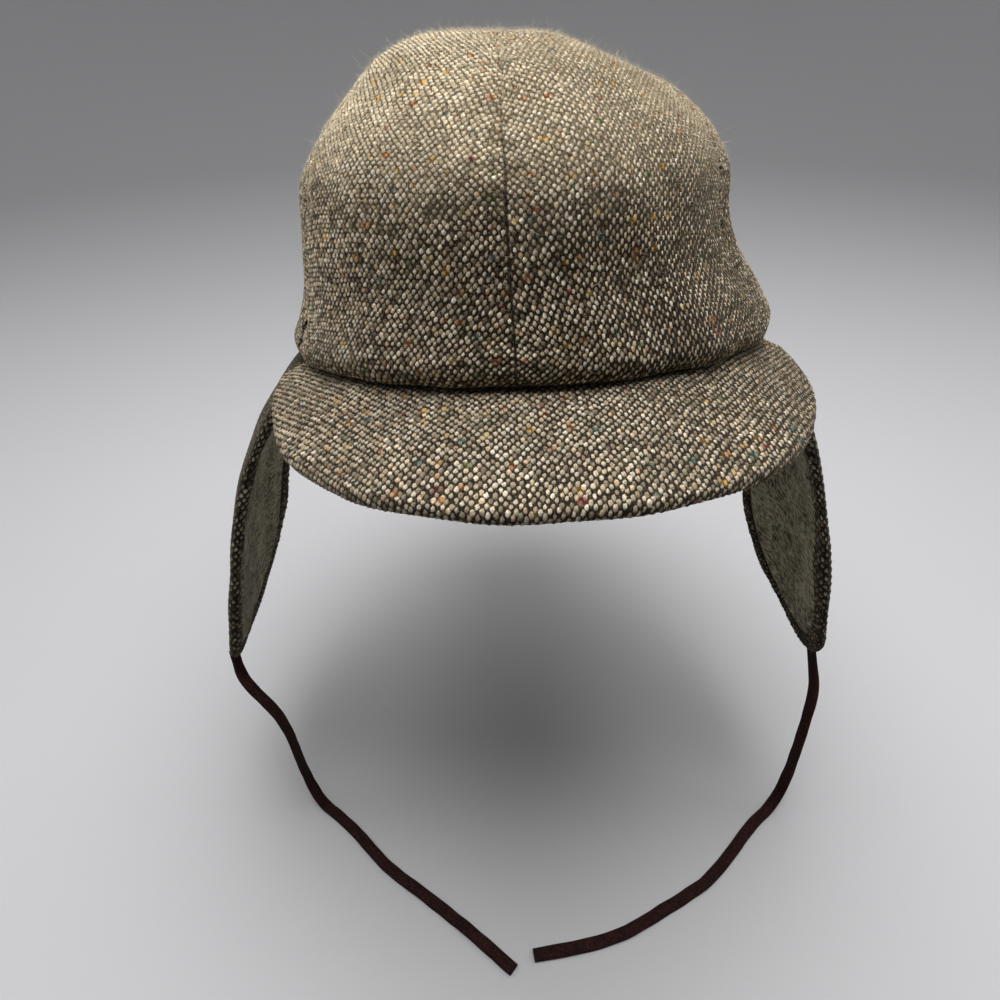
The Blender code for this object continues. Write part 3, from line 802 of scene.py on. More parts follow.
def tweed_material(name, painted_light_level, nub_size, evenness, fuzz_and_painted_top_light=False):
    """Tweed whose weave follows the piece's own map. With a fuzzy top the cloth turns more towards the
    colour of loose hair the higher it is: partly fuzz, partly painted light on the crown's top."""
    material, tree, shader = new_material(name, 0.15, 0.50, TWEED_SHEEN, 0.05)
    where = tree.nodes.new("ShaderNodeUVMap")
    where.uv_map = "weave"
    seam = tree.nodes.new("ShaderNodeAttribute")
    seam.attribute_name = "painted_seam_shade"
    fuzz_and_top_light = 0.0
    # Paler with height: the top of the crown gets the colour of loose hair, partly fuzz and partly painted
    # light.
    if fuzz_and_painted_top_light:
        place = tree.nodes.new("ShaderNodeTexCoord").outputs["Object"]
        uneven = times_plus(tree, noise(tree, place, FUZZY_SCALE), FUZZY_UNEVEN, split(tree, place)[2])
        fuzz_and_top_light = fade(tree, uneven, FUZZY_FROM, FUZZY_TO, 0.0, FUZZY_MOST)
    values = {
        "Weave": where.outputs[0],
        "Painted Light Level": painted_light_level,
        "Nub Size": nub_size,
        "Fuzz And Painted Top Light": fuzz_and_top_light,
        "Seam": seam.outputs["Fac"],
        "Evenness": evenness,
    }
    place_group(tree, tweed_group, shader, TWEED_BUMP, values)
    return material


def nap_material(name, low, high, fibre_scale, bump_distance, sheen, sheen_tint):
    """Felt, suede or hair, with fibres between a low and a high colour."""
    material, tree, shader = new_material(name, sheen, 0.40, sheen_tint, 0.15)
    where = tree.nodes.new("ShaderNodeTexCoord").outputs["Object"]
    values = {"Vector": where, "Fibre Scale": fibre_scale, "Low": (*low, 1), "High": (*high, 1)}
    place_group(tree, nap_group, shader, bump_distance, values)
    return material


# Painted light levels: the crown painted lighter, the peak a little darker and the flaps much darker, as
# painted shade.
crown_tweed = tweed_material("tweed_crown", 1.14, 1.09, 0.05, fuzz_and_painted_top_light=True)
peak_tweed = tweed_material("tweed_peak", 0.86, 1.18, 0.25)
flap_tweed = tweed_material("tweed_flaps", 0.40, 0.95, 0.0)
NAPS = {
    # name: low, high, fibre scale, bump distance, sheen, sheen tint
    "felted_lining": ((0.030, 0.026, 0.015), (0.430, 0.380, 0.260), 760.0, 0.0010, 0.12, FELT_SHEEN),
    "suede_lace": ((0.005, 0.003, 0.003), (0.034, 0.010, 0.008), 1600.0, 0.0003, 0.06, SUEDE_SHEEN),
    "felt_hair": ((0.16, 0.14, 0.10), (0.50, 0.46, 0.35), 300.0, 0.0001, 0.20, FELT_SHEEN),
    "wool_hair": ((0.46, 0.38, 0.25), (0.74, 0.65, 0.47), 300.0, 0.0001, 0.20, WOOL_SHEEN),
}
felt, suede, felt_hair, wool_hair = (nap_material(name, *numbers) for name, numbers in NAPS.items())
print("materials:", len(bpy.data.materials))

# %% The two laces
for word, route in LACE_ROUTES.items():
    lace(word, route, suede)

# %% [markdown]
# ## How the hat sits
#
# The crown and the peaks are worked out level. The sides are then drawn down a little by the
# flaps, and the whole hat is tipped back and leaned to one side, as it is worn.

# %% Sitting
RIM_HALF_WIDTH = 0.0900
RIM_HALF_LENGTH = 0.1040
TIP_BACK = math.radians(10.0)
LEAN_SIDE = math.radians(1.5)
SIDE_SAG = 0.0040
CROWN_HEIGHT = 0.0960
SAG_TOP = 0.70
HEM_GAP = 0.0003


def tilt():
    """Matrix that turns the level hat as it is worn."""
    back_cos, back_sin = math.cos(TIP_BACK), math.sin(TIP_BACK)
    side_cos, side_sin = math.cos(LEAN_SIDE), math.sin(LEAN_SIDE)
    tip_back = np.array(((1, 0, 0), (0, back_cos, back_sin), (0, -back_sin, back_cos)))
    lean_side = np.array(((side_cos, 0, -side_sin), (0, 1, 0), (side_sin, 0, side_cos)))
    return lean_side @ tip_back


WORN = tilt()


def sag(x):
    """How far the level hat is drawn down: by the square of the distance from its middle."""
    return SIDE_SAG * (x / RIM_HALF_WIDTH) ** 2


def worn(points):
    """Draws the level hat down at its sides, less and less up to SAG_TOP, then tilts it."""
    points = np.array(points, float)
    fading = np.clip(1 - points[..., 2] / (SAG_TOP * CROWN_HEIGHT), 0, 1)
    points[..., 2] -= sag(points[..., 0]) * fading
    return points @ WORN.T


# %% [markdown]
# ## Cloth with a face and a back
#
# Every cloth piece is a closed mesh. Its face is a fine grid that can carry the weave's relief.
# Its back is the same sheet a wall further in, with a point for every sixth one of the face,
# because nobody looks at it closely. A strip of triangles zips the two edges together.

# %% Closing a sheet
COARSER = 6
COARSE = (slice(None, None, COARSER),) * 2
NUB_STEEPNESS = 0.62
YARN_DRIFT = 0.42
YARN_WAVES = (34.0, 28.0)


def listed(*grids):
    """All points of several grids as one list, grid after grid."""
    return np.concatenate([grid.reshape(-1, grid.shape[-1]) for grid in grids])


def edge_ring(numbers):
    """The border of a grid of point numbers, once round."""
    return np.concatenate((numbers[0, :-1], numbers[:-1, -1], numbers[-1, :0:-1], numbers[:0:-1, 0]))


def zip_edges(fine, coarse, closed):
    """Triangles between a fine edge and a coarse one: each fine step reaches to the nearer coarse
    point, and each coarse step to the fine point at its middle."""
    if closed:
        fine = np.append(fine, fine[0])
        coarse = np.append(coarse, coarse[0])
    step = np.arange(len(fine) - 1)
    near = step // COARSER + (step % COARSER >= COARSER // 2)
    narrow = np.stack((fine[1:], fine[:-1], coarse[near]), -1)
    middle = fine[COARSER // 2 :: COARSER][: len(coarse) - 1]
    wide = np.stack((coarse[:-1], coarse[1:], middle), -1)
    return np.concatenate((narrow, wide))


def closed_sheet(face, back):
    """Points, quads and triangles of a closed sheet from its fine face and its coarse back."""
    front = grid_numbers(*face.shape[:2])
    behind = grid_numbers(*back.shape[:2], front.size)
    quads = np.concatenate((cell_corners(front), cell_corners(behind)[:, ::-1]))
    return listed(face, back), quads, zip_edges(edge_ring(front), edge_ring(behind), True)


def grid_normals(grid, outward):
    """Unit normals of a grid of points from its steps along rows and columns, turned to the side
    of the outward guide."""
    normal = unit(np.cross(np.gradient(grid, axis=0), np.gradient(grid, axis=1)))
    side = np.sign(np.sum(normal * outward, axis=-1, keepdims=True))
    return normal * np.where(side == 0, 1, side)


def nubs(weave):
    """Relief of the weave between 0 and 1: the product of two cosines of the yarn counts is one
    on every pale nub and minus one on every dark one."""
    chequer = np.cos(math.pi * weave[..., 0]) * np.cos(math.pi * weave[..., 1])
    return np.clip(0.5 + NUB_STEEPNESS * chequer, 0, 1)


def drifted(weave, seed):
    """Yarns wander: the counts are shifted by slow ripples, so that rows and columns bend."""
    x, y = weave[..., 0], weave[..., 1]
    shift = [ripple(x, y, wave, seed + number) for number, wave in enumerate(YARN_WAVES)]
    return weave + YARN_DRIFT * np.stack(shift, -1)


# %% [markdown]
# ## The crown
#
# Six gores, each a petal of tweed, are sewn side by side and meet at the top. The outline of the crown is a
# short table of sections: an ellipse at each height, pressed in or swollen by a few soft folds. Along a
# seam the cloth rolls inwards, and the fine dark line in it is painted shade.
#
# A gore is cut flat, so its weave must be flat too. Laid flat, a level line of the crown becomes
# an arc whose curvature is the slope of the radius over the radius. That bow is what makes the
# yarns meet in a chevron at each seam.

# %% Crown outline
PANELS = 6
PANEL_TURN = 2 * math.pi / PANELS
SEAM_TURN = math.radians(-6.0)
CLOTH = 0.0030
HEM_THICKNESS = 0.0060
HEM_HEIGHT = 0.0140
SEAM_DIP = 0.0012
SEAM_DIP_WIDTH = 0.0060
SEAM_DIP_START = 0.12
APEX_RADIUS = 0.0004
FOLD_CENTRE_HEIGHT = 0.35
CROWN_SECTIONS = (
    # height, reach across, reach along, shift
    (0.000, 0.975, 0.975, 0.000),
    (0.035, 1.000, 1.000, 0.000),
    (0.090, 1.005, 1.010, 0.000),
    (0.170, 0.970, 0.995, -0.005),
    (0.280, 0.905, 0.970, -0.015),
    (0.420, 0.865, 0.950, -0.020),
    (0.580, 0.840, 0.910, -0.020),
    (0.727, 0.737, 0.807, -0.030),
    (0.840, 0.628, 0.685, -0.026),
    (0.927, 0.484, 0.525, -0.060),
    (0.978, 0.300, 0.325, -0.055),
    (1.000, 0.000, 0.000, -0.050),
)
CROWN_FOLDS = (
    # angle, height, angle spread, height spread, out
    (75.0, 0.06, 32.0, 0.12, 0.007),
    (75.0, 0.42, 40.0, 0.20, -0.034),
    (-75.0, 0.17, 35.0, 0.12, -0.034),
    (-70.0, 0.45, 40.0, 0.25, 0.022),
    (-45.0, 0.92, 26.0, 0.12, 0.026),
    (60.0, 0.90, 35.0, 0.14, -0.058),
    (115.0, 0.86, 40.0, 0.16, -0.040),
)
CROWN_PROFILE = smooth_curve(CROWN_SECTIONS, CURVE_STEPS)
CROWN_ALONG = np.linspace(0.0, 1.0, len(CROWN_PROFILE))


def crown_surface(angle, along):
    """Level outer face of the crown. angle runs round from the front towards the wearer's left,
    along from the bottom edge to the top: an ellipse at each height, swollen or pressed in by
    the folds, and drawn in along the sewn seams."""
    height, across, length, shift = (np.interp(along, CROWN_ALONG, row) for row in CROWN_PROFILE.T)
    out = np.ones_like(angle)
    for fold_angle, fold_height, angle_spread, height_spread, amount in CROWN_FOLDS:
        turn = np.degrees(np.angle(np.exp(1j * (angle - math.radians(fold_angle)))))
        rise = height - fold_height
        out += amount * np.exp(-((turn / angle_spread) ** 2) - (rise / height_spread) ** 2)
    from_seam = np.abs((angle - SEAM_TURN + PANEL_TURN / 2) % PANEL_TURN - PANEL_TURN / 2)
    dip = SEAM_DIP * np.exp(-((from_seam * across * RIM_HALF_WIDTH / SEAM_DIP_WIDTH) ** 2))
    out -= dip / RIM_HALF_WIDTH * np.clip(along / SEAM_DIP_START, 0, 1)
    x = RIM_HALF_WIDTH * (across * np.sin(angle) * out + shift)
    y = -length * RIM_HALF_LENGTH * np.cos(angle) * out
    z = CROWN_HEIGHT * (FOLD_CENTRE_HEIGHT + (height - FOLD_CENTRE_HEIGHT) * out)
    z = np.where(height < FOLD_CENTRE_HEIGHT, CROWN_HEIGHT * height, z)
    return np.stack((x, y, z), -1)


# %% Gores
CROWN_PITCH = (0.00110, 0.00118)
HEM_SPREAD = 0.20
HEM_REACH = 0.030
LIP_OUT = 0.0007
LIP_HEIGHT = 0.0062
LIP_SPREAD = 0.0038
LIP_ROUND = 0.0030
LIP_TUCK = 0.0019
NUB_HEIGHT = 0.00055
SEAM_ROLL = 0.0011
SEAM_DEPTH = 0.0018
SEAM_OVERLAP = 0.0001
SEAM_TOP = 0.0900
SEAM_FAINT = 0.30
PUCKER_DEPTH = 0.00035
PUCKER_STEP = 0.0088
PUCKER_REACH = 0.0055
SEAM_CROWDING = 0.15
SEAM_DARK = (1.7, 0.4)
BOW_SMOOTHING = 12
BOW_MOST = 0.02
LEAST_HALF_WIDTH = 0.0001
FULL_RELIEF_WIDTH = 0.02
ROLL_FLATTENING = 0.6
GORE_WANDER = 0.00045
GORE_WAVE = 0.030
GORE_YARNS = 37.0
MIDDLE_HEIGHT = 0.3 * CROWN_HEIGHT
FRONT_GORES = (0, 5)
FINE_GORE = (276, 192)
PLAIN_GORE = (192, 132)


def gore_grid(number, rows, columns):
    """Angles and heights of a gore's points: rows at even steps up its middle line, columns a
    little closer together at both seams."""
    last = np.interp(APEX_RADIUS / RIM_HALF_WIDTH, CROWN_PROFILE[::-1, 1], CROWN_ALONG[::-1])
    fine = np.linspace(0.0, last, 4 * CURVE_STEPS)
    middle = crown_surface(np.full_like(fine, SEAM_TURN + (number + 0.5) * PANEL_TURN), fine)
    lengths = lengths_along(middle)
    along = np.interp(np.linspace(0, lengths[-1], rows + 1), lengths, fine)
    reach = np.maximum(np.interp(along, CROWN_ALONG, CROWN_PROFILE[:, 1]) * RIM_HALF_WIDTH, APEX_RADIUS)
    over = np.minimum(SEAM_OVERLAP / reach, PANEL_TURN / 8)
    share = np.linspace(0.0, 1.0, columns + 1)
    crowding = np.sin(2 * math.pi * share) + np.sin(4 * math.pi * share)
    share = share - SEAM_CROWDING * crowding / (2 * math.pi)
    first = (SEAM_TURN + number * PANEL_TURN - over)[:, None]
    final = (SEAM_TURN + (number + 1) * PANEL_TURN + over)[:, None]
    angle = first + (final - first) * share
    return angle, np.repeat(along[:, None], columns + 1, axis=1)


def flat_gore(grid):
    """Lays a gore flat: across is the length along each row from the middle column, up is the
    length along the middle column plus the bow of that row. Returns both in metres."""
    middle = grid.shape[1] // 2
    steps = np.linalg.norm(np.diff(grid, axis=1), axis=-1)
    across = np.concatenate((np.zeros((len(grid), 1)), np.cumsum(steps, axis=1)), axis=1)
    across -= across[:, middle : middle + 1]
    up = lengths_along(grid[:, middle])
    half_width = np.maximum((across[:, -1] - across[:, 0]) / 2, LEAST_HALF_WIDTH)
    radius = half_width / (math.pi / PANELS)
    slope = np.pad(-np.gradient(radius, up), BOW_SMOOTHING, "edge")
    window = 2 * BOW_SMOOTHING + 1
    smooth = np.convolve(slope, np.ones(window) / window, "valid")
    bow = (smooth / radius)[:, None] * across**2 / 2
    return across, up[:, None] + np.minimum(bow, BOW_MOST)


def gore_lift(number, weave, across, up):
    """How far the cloth stands off the smooth crown, and how much painted shade its seams get. Nubs and a
    slow wander lift it, puckers wave it beside the seams, and it rolls down into them as a quarter round.
    The lip above the bottom edge swells like a bell curve and tucks under like a round."""
    edge = np.minimum(across - across[:, :1], across[:, -1:] - across)
    inside = 1 - np.clip(edge / SEAM_ROLL, 0, 1)
    low = SEAM_FAINT + (1 - SEAM_FAINT) * np.clip((SEAM_TOP - up) / SEAM_TOP * 2, 0, 1)
    closed = np.clip(up / LIP_HEIGHT, 0, 1)
    roll = SEAM_DEPTH * low * closed * (1 - np.sqrt(np.clip(1 - inside**2, 0, 1)))
    narrowing = np.clip((across[:, -1:] - across[:, :1]) / FULL_RELIEF_WIDTH, 0, 1)
    pucker = np.sin(2 * math.pi * up / PUCKER_STEP + number) * np.exp(-((edge / PUCKER_REACH) ** 2))
    wander = GORE_WANDER * ripple(across, up, GORE_WAVE, 11 + number)
    relief = NUB_HEIGHT * (nubs(weave) - 0.5) * (1 - ROLL_FLATTENING * inside)
    from_hem = up[:, up.shape[1] // 2, None]
    under = 1 - np.clip(from_hem / LIP_ROUND, 0, 1)
    lip = LIP_OUT * np.exp(-(((from_hem - LIP_HEIGHT) / LIP_SPREAD) ** 2))
    lip = lip - LIP_TUCK * (1 - np.sqrt(1 - under**2))
    lift = wander + lip + (relief - roll + PUCKER_DEPTH * pucker) * narrowing
    # The second number is painted shade for the seam, strongest deep in its roll and fainter higher up.
    return lift, np.clip(inside * SEAM_DARK[0] - SEAM_DARK[1], 0, 1) * narrowing * low


def gore(number):
    """One gore: its face with seam rolls, puckers and nubs, and its back a wall further in. Near
    the bottom edge the yarns lie a little closer, by an exponential of the distance from it."""
    rows, columns = FINE_GORE if number in FRONT_GORES else PLAIN_GORE
    smooth = crown_surface(*gore_grid(number, rows, columns))
    centre = np.array((0.0, 0.0, MIDDLE_HEIGHT))
    normal = grid_normals(smooth, smooth - centre)
    across, up = flat_gore(smooth)
    spread = up + HEM_SPREAD * HEM_REACH * (np.exp(-up / HEM_REACH) - 1)
    weave = drifted(np.stack((across, spread), -1) / CROWN_PITCH + GORE_YARNS * number, number)
    lift, dark = gore_lift(number, weave, across, up)
    face = smooth + lift[..., None] * normal
    hem = np.clip(1 - smooth[..., 2:3] / HEM_HEIGHT, 0, 1)
    wall = CLOTH + (HEM_THICKNESS - CLOTH) * hem
    back = (smooth - wall * normal)[COARSE]
    back[0] = smooth[0, ::COARSER] - HEM_THICKNESS * unit(normal[0, ::COARSER] * (1, 1, 0))
    sheet = closed_sheet(worn(face), worn(back))
    seams = np.concatenate((dark.ravel(), dark[COARSE].ravel()))
    weaves = listed(weave, weave[COARSE])
    name = f"crown_gore_{number + 1}"
    piece = add_piece(name, crown_tweed, "tweed", *sheet, weave=weaves, seam=seams)
    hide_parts(f"crown_panel_{number + 1}")
    return worn(face), grid_normals(worn(face), worn(face) - centre)


crown_faces = [gore(number) for number in range(PANELS)]

# %% [markdown]
# ## The peaks
#
# A peak is a stiffened crescent of tweed, sewn under the hem. Its plan runs from the rim's ellipse
# out to a superellipse, it falls as it goes outwards, and its free edge is a full half round. The
# sheet is laid out by the distance from the sewn edge, so the weave runs on round the edge.

# %% Peaks
PEAK_HALF_ANGLE = math.radians(66.0)
PEAK_THICKNESS = 0.0042
PEAK_TUCK = 0.0050
PEAK_START_SLOPE = 0.75
PEAK_ROLL_TURN = 0.94 * math.pi
PEAK_STRETCH = 1.04
PEAK_WANDER = 0.0004
PEAK_WAVE = 0.034
PEAK_PITCH = (0.00112, 0.00148)
FRONT_PEAK = {
    "reach": 0.0465,
    "end_reach": 0.0098,
    "squareness": 2.1,
    "slope": math.radians(18.0),
    "end_slope": math.radians(20.0),
    "grid": (84, 6, 12, 378),
}
BACK_PEAK = {
    "reach": 0.0420,
    "end_reach": 0.0120,
    "squareness": 2.3,
    "slope": math.radians(24.0),
    "end_slope": math.radians(34.0),
    "grid": (66, 6, 12, 288),
}


def rim_point(angle, inset):
    """Level point on the crown's bottom edge, set in across the edge, and the plan normal there."""
    wide = RIM_HALF_WIDTH * CROWN_SECTIONS[0][1]
    long = RIM_HALF_LENGTH * CROWN_SECTIONS[0][2]
    normal = unit(np.stack((np.sin(angle) / wide, -np.cos(angle) / long), -1))
    return np.stack((wide * np.sin(angle), -long * np.cos(angle)), -1) - inset * normal, normal


def rim_angle(start, distance):
    """Angle reached by going a distance round the crown's bottom edge from the start angle."""
    angles = np.linspace(0.0, math.pi, 4 * CURVE_STEPS + 1)
    lengths = lengths_along(rim_point(angles, 0.0)[0])
    return np.interp(np.interp(start, angles, lengths) + distance, lengths, angles)


def peak(name, node, sizes, half_angle, front, seed):
    """Rows go out along straight lines in plan from the tuck under the hem to the free edge, then
    round it; columns go from one end of the peak to the other."""
    flat_rows, tuck_rows, roll_rows, columns = sizes["grid"]
    share = np.linspace(-1.0, 1.0, columns + 1)
    edge_angle = share * math.pi / 2
    root, normal = rim_point(share * half_angle, 0.0)
    end_x, end_y = root[-1]
    half_width = end_x + sizes["end_reach"]
    front_y = root[columns // 2, 1] - sizes["reach"]
    power = 2 / sizes["squareness"]
    edge_x = half_width * signed_power(np.sin(edge_angle), power)
    edge_y = end_y + (front_y - end_y) * np.abs(np.cos(edge_angle)) ** power
    edge = np.stack((edge_x, edge_y), -1)
    reach = np.linalg.norm(edge - root, axis=-1)
    heading = (edge - root) / reach[:, None]
    slope = sizes["slope"] + (sizes["end_slope"] - sizes["slope"]) * np.sin(edge_angle) ** 2

    def fall(out):
        """Height of the upper face at a distance out from the sewn edge."""
        steepness = PEAK_START_SLOPE + (1 - PEAK_START_SLOPE) * out / reach
        return -HEM_GAP - out * np.tan(slope) * steepness

    half = PEAK_THICKNESS / 2
    flat_end = tuck_rows + flat_rows + 1
    flat_out = np.linspace(0, 1, flat_rows + 1)[:, None] * (reach - half)
    turn = np.linspace(0, PEAK_ROLL_TURN, roll_rows + 1)[1:, None]
    out = np.concatenate((flat_out, reach - half + half * np.sin(turn)))
    roll_down = half * (1 - np.cos(turn)) + 0 * reach
    tucked = root - np.linspace(PEAK_TUCK, 0, tuck_rows + 1)[:-1, None, None] * normal
    plan = np.concatenate((tucked, root + out[..., None] * heading))
    level = np.full((tuck_rows, columns + 1), -HEM_GAP)
    top = np.concatenate((level, fall(flat_out), fall(reach - half) - roll_down))
    arc = np.concatenate((flat_out, reach - half + half * turn))
    laid = np.concatenate((tucked, root + arc[..., None] * heading * PEAK_STRETCH))
    weave = drifted(laid / PEAK_PITCH + seed, seed)
    smooth = np.concatenate((plan, top[..., None]), -1)
    guide = np.zeros_like(smooth)
    guide[..., 2] = 1.0
    guide[-roll_rows:, :, :2] = heading
    guide[-roll_rows:, :, 2] = np.cos(turn)
    sewn = np.clip(np.arange(len(smooth)) / tuck_rows - 1, 0, 1)[:, None]
    wander = PEAK_WANDER * ripple(laid[..., 0], laid[..., 1], PEAK_WAVE, seed)
    lift = (wander + NUB_HEIGHT * (nubs(weave) - 0.5)) * sewn
    face = smooth + lift[..., None] * grid_normals(smooth, guide)
    pick = np.linspace(0, flat_end - 1, (len(smooth) - 1) // COARSER + 1).round().astype(int)
    back = smooth[pick][:, ::COARSER] - (0, 0, PEAK_THICKNESS)
    facing = np.array((1, 1, 1) if front else (-1, -1, 1))
    face = worn(face * facing)
    sheet = closed_sheet(face, worn(back * facing))
    weaves = listed(weave, weave[pick][:, ::COARSER])
    piece = add_piece(name, peak_tweed, "tweed", *sheet, weave=weaves)
    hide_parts(node)
    return face, grid_normals(face, worn(guide * facing))


FLAP_END_GAP = 0.0024
FLAP_WIDTH = 0.0950
flap_end = rim_angle(PEAK_HALF_ANGLE, FLAP_WIDTH + 2 * FLAP_END_GAP)
peak_faces = [
    peak("peak_front", "front_peak", FRONT_PEAK, PEAK_HALF_ANGLE, True, 41),
    peak("peak_back", "back_peak", BACK_PEAK, math.pi - flap_end, False, 53),
]

# %% [markdown]
# ## The ear flaps
#
# A flap is a padded tongue of tweed whose edge is turned to the inside, with a felted lining let
# in behind the turned edge. Its flat cut is one smooth outline, and rings inside the outline close
# in on a middle line, the spine, where both sides meet. A bent surface then hangs the flat cut
# from the rim: it leaves the rim at a wide flare and bends until it hangs nearly straight down.

# %% Flap form
FLAP_PITCH = (0.00138, 0.00165)
FLAP_LENGTH = 0.1460
FLAP_THICKNESS = 0.0045
FLAP_BAND = 0.0060
LINING_THICKNESS = 0.0016
LINING_GAP = 0.0005
FLAP_BEND_SHARE = 0.60
FLAP_REACH_SHARE = 1.2
FLAP_HANG = {
    "left": {
        "side": 1,
        "top_flare": math.radians(44.0),
        "tip_flare": math.radians(6.0),
        "rear_ease": 0.50,
        "forward": math.radians(16.0),
    },
    "right": {
        "side": -1,
        "top_flare": math.radians(46.0),
        "tip_flare": math.radians(12.0),
        "rear_ease": 0.25,
        "forward": math.radians(8.0),
    },
}
FLAP_TOP_INSET = 0.0005
FLAP_OUTLINE = (
    # across, down
    (0.00, 0.00),
    (0.00, 0.30),
    (0.00, 0.60),
    (0.01, 0.82),
    (0.06, 0.94),
    (0.18, 1.00),
    (0.34, 0.98),
    (0.52, 0.89),
    (0.63, 0.75),
    (0.66, 0.58),
    (0.69, 0.38),
    (0.79, 0.18),
    (1.00, 0.00),
)
FLAP_SPINE_TOP = (0.50, 0.00)
FLAP_SPINE_TIP = (0.24, 0.84)
FLAP_SPINE_PACE = 0.8
SLOPE_STEP = 0.0008


def flap_surface(across, down, hang):
    """Middle face of a flap. across is measured along the rim from the flap's front end, down
    from the rim. The flap leaves the rim at its top flare and bends to hang at its tip flare."""
    angle = rim_angle(PEAK_HALF_ANGLE, FLAP_END_GAP + across)
    flat, normal = rim_point(angle, FLAP_TOP_INSET + FLAP_THICKNESS / 2)
    top = np.concatenate((flat, np.full_like(flat[..., :1], -HEM_GAP)), -1)
    top[..., 0] *= hang["side"]
    top = worn(top)
    steps = np.linspace(0.0, FLAP_REACH_SHARE, CURVE_STEPS + 1)
    bend = smooth_step(steps / FLAP_BEND_SHARE)
    flare = hang["top_flare"] + (hang["tip_flare"] - hang["top_flare"]) * bend
    pace = FLAP_LENGTH * (steps[1] - steps[0])
    outwards = np.r_[0.0, np.cumsum(np.sin(flare[1:]) * pace)]
    downwards = np.r_[0.0, np.cumsum(np.cos(flare[1:]) * pace)]
    share = down / FLAP_LENGTH
    above = np.minimum(down, 0)
    ease = 1 - hang["rear_ease"] * np.clip(across / FLAP_WIDTH, 0, 1)
    out = (np.interp(share, steps, outwards) + above * math.sin(hang["top_flare"])) * ease
    drop = np.interp(share, steps, downwards) + above * math.cos(hang["top_flare"])
    lean = hang["forward"] * np.clip(share / FLAP_BEND_SHARE, 0, 1)
    x = top[..., 0] + hang["side"] * normal[..., 0] * out
    y = top[..., 1] + normal[..., 1] * out - drop * np.sin(lean)
    return np.stack((x, y, top[..., 2] - drop * np.cos(lean)), -1)


def flap_outline(columns):
    """The cut edge, the direction inwards from it, and the spine point that each edge point
    closes in on, all in the flat."""
    size = np.array((FLAP_WIDTH, FLAP_LENGTH))
    outline = smooth_curve(np.array(FLAP_OUTLINE) * size, columns + 1)
    along = np.gradient(outline, axis=0)
    inwards = unit(np.stack((along[:, 1], -along[:, 0]), -1))
    share = 1 - np.abs(np.linspace(-1.0, 1.0, columns + 1))[:, None]
    spine_top = np.array(FLAP_SPINE_TOP) * size
    spine = spine_top + (np.array(FLAP_SPINE_TIP) * size - spine_top) * share**FLAP_SPINE_PACE
    return outline, inwards, spine


def hang_flat(flat, depth, hang):
    """Places flat points on the hanging flap, depth out from its middle face. The top ends lie
    along the underside of the hem, and nothing stands above it."""
    across, down = flat[..., 0], flat[..., 1]
    first = flap_surface(across + SLOPE_STEP, down, hang) - flap_surface(across - SLOPE_STEP, down, hang)
    second = flap_surface(across, down + SLOPE_STEP, hang) - flap_surface(across, down - SLOPE_STEP, hang)
    normal = unit(np.cross(first, second))
    normal *= np.sign(np.sum(normal * (hang["side"], 0, 0), axis=-1, keepdims=True))
    level = (flap_surface(across, down, hang) + depth[..., None] * normal) @ WORN
    hem = -HEM_GAP - sag(level[..., 0])
    level[..., 2] = np.minimum(level[..., 2], hem)
    level[:, (0, -1), 2] = hem[:, (0, -1)]
    return level @ WORN.T, normal


def closing_rings(ring, spine, shares):
    """Flat rings that close in from the given ring on the spine, by shares of the way."""
    return ring + (spine - ring) * shares[:, None, None]


def folded_sheet(face, back):
    """Like closed_sheet, for rings that close in on a spine: the last row's two halves are the
    same points, and each top end is closed by one many-sided face."""
    front = grid_numbers(*face.shape[:2])
    behind = grid_numbers(*back.shape[:2], front.size)
    for numbers in (front, behind):
        middle = numbers.shape[1] // 2
        numbers[-1, middle + 1 :] = numbers[-1, :middle][::-1]
    quads = np.concatenate((cell_corners(front), cell_corners(behind)[:, ::-1]))
    ends = [
        np.concatenate((front[:, 0], behind[::-1, 0])),
        np.concatenate((front[::-1, -1], behind[:, -1])),
    ]
    return listed(face, back), quads, zip_edges(front[0], behind[0], False), ends


# %% Flap shells and linings
FLAP_GRID = (480, 9, 6, 51)
FLAP_WANDER = 0.0005
FLAP_WAVE = 0.035
FLAP_CALM_TOP = 0.004
LINING_GRID = (264, 24)
LINING_PACE = 1.2
LINING_SOFT_EDGE = 0.0010
LINING_SOFT_REACH = 0.0012
LINING_WANDER = 0.00035
LINING_WAVE = 0.016
LINING_CALM_EDGE = 0.003
BED_CLEARANCE = 0.00015


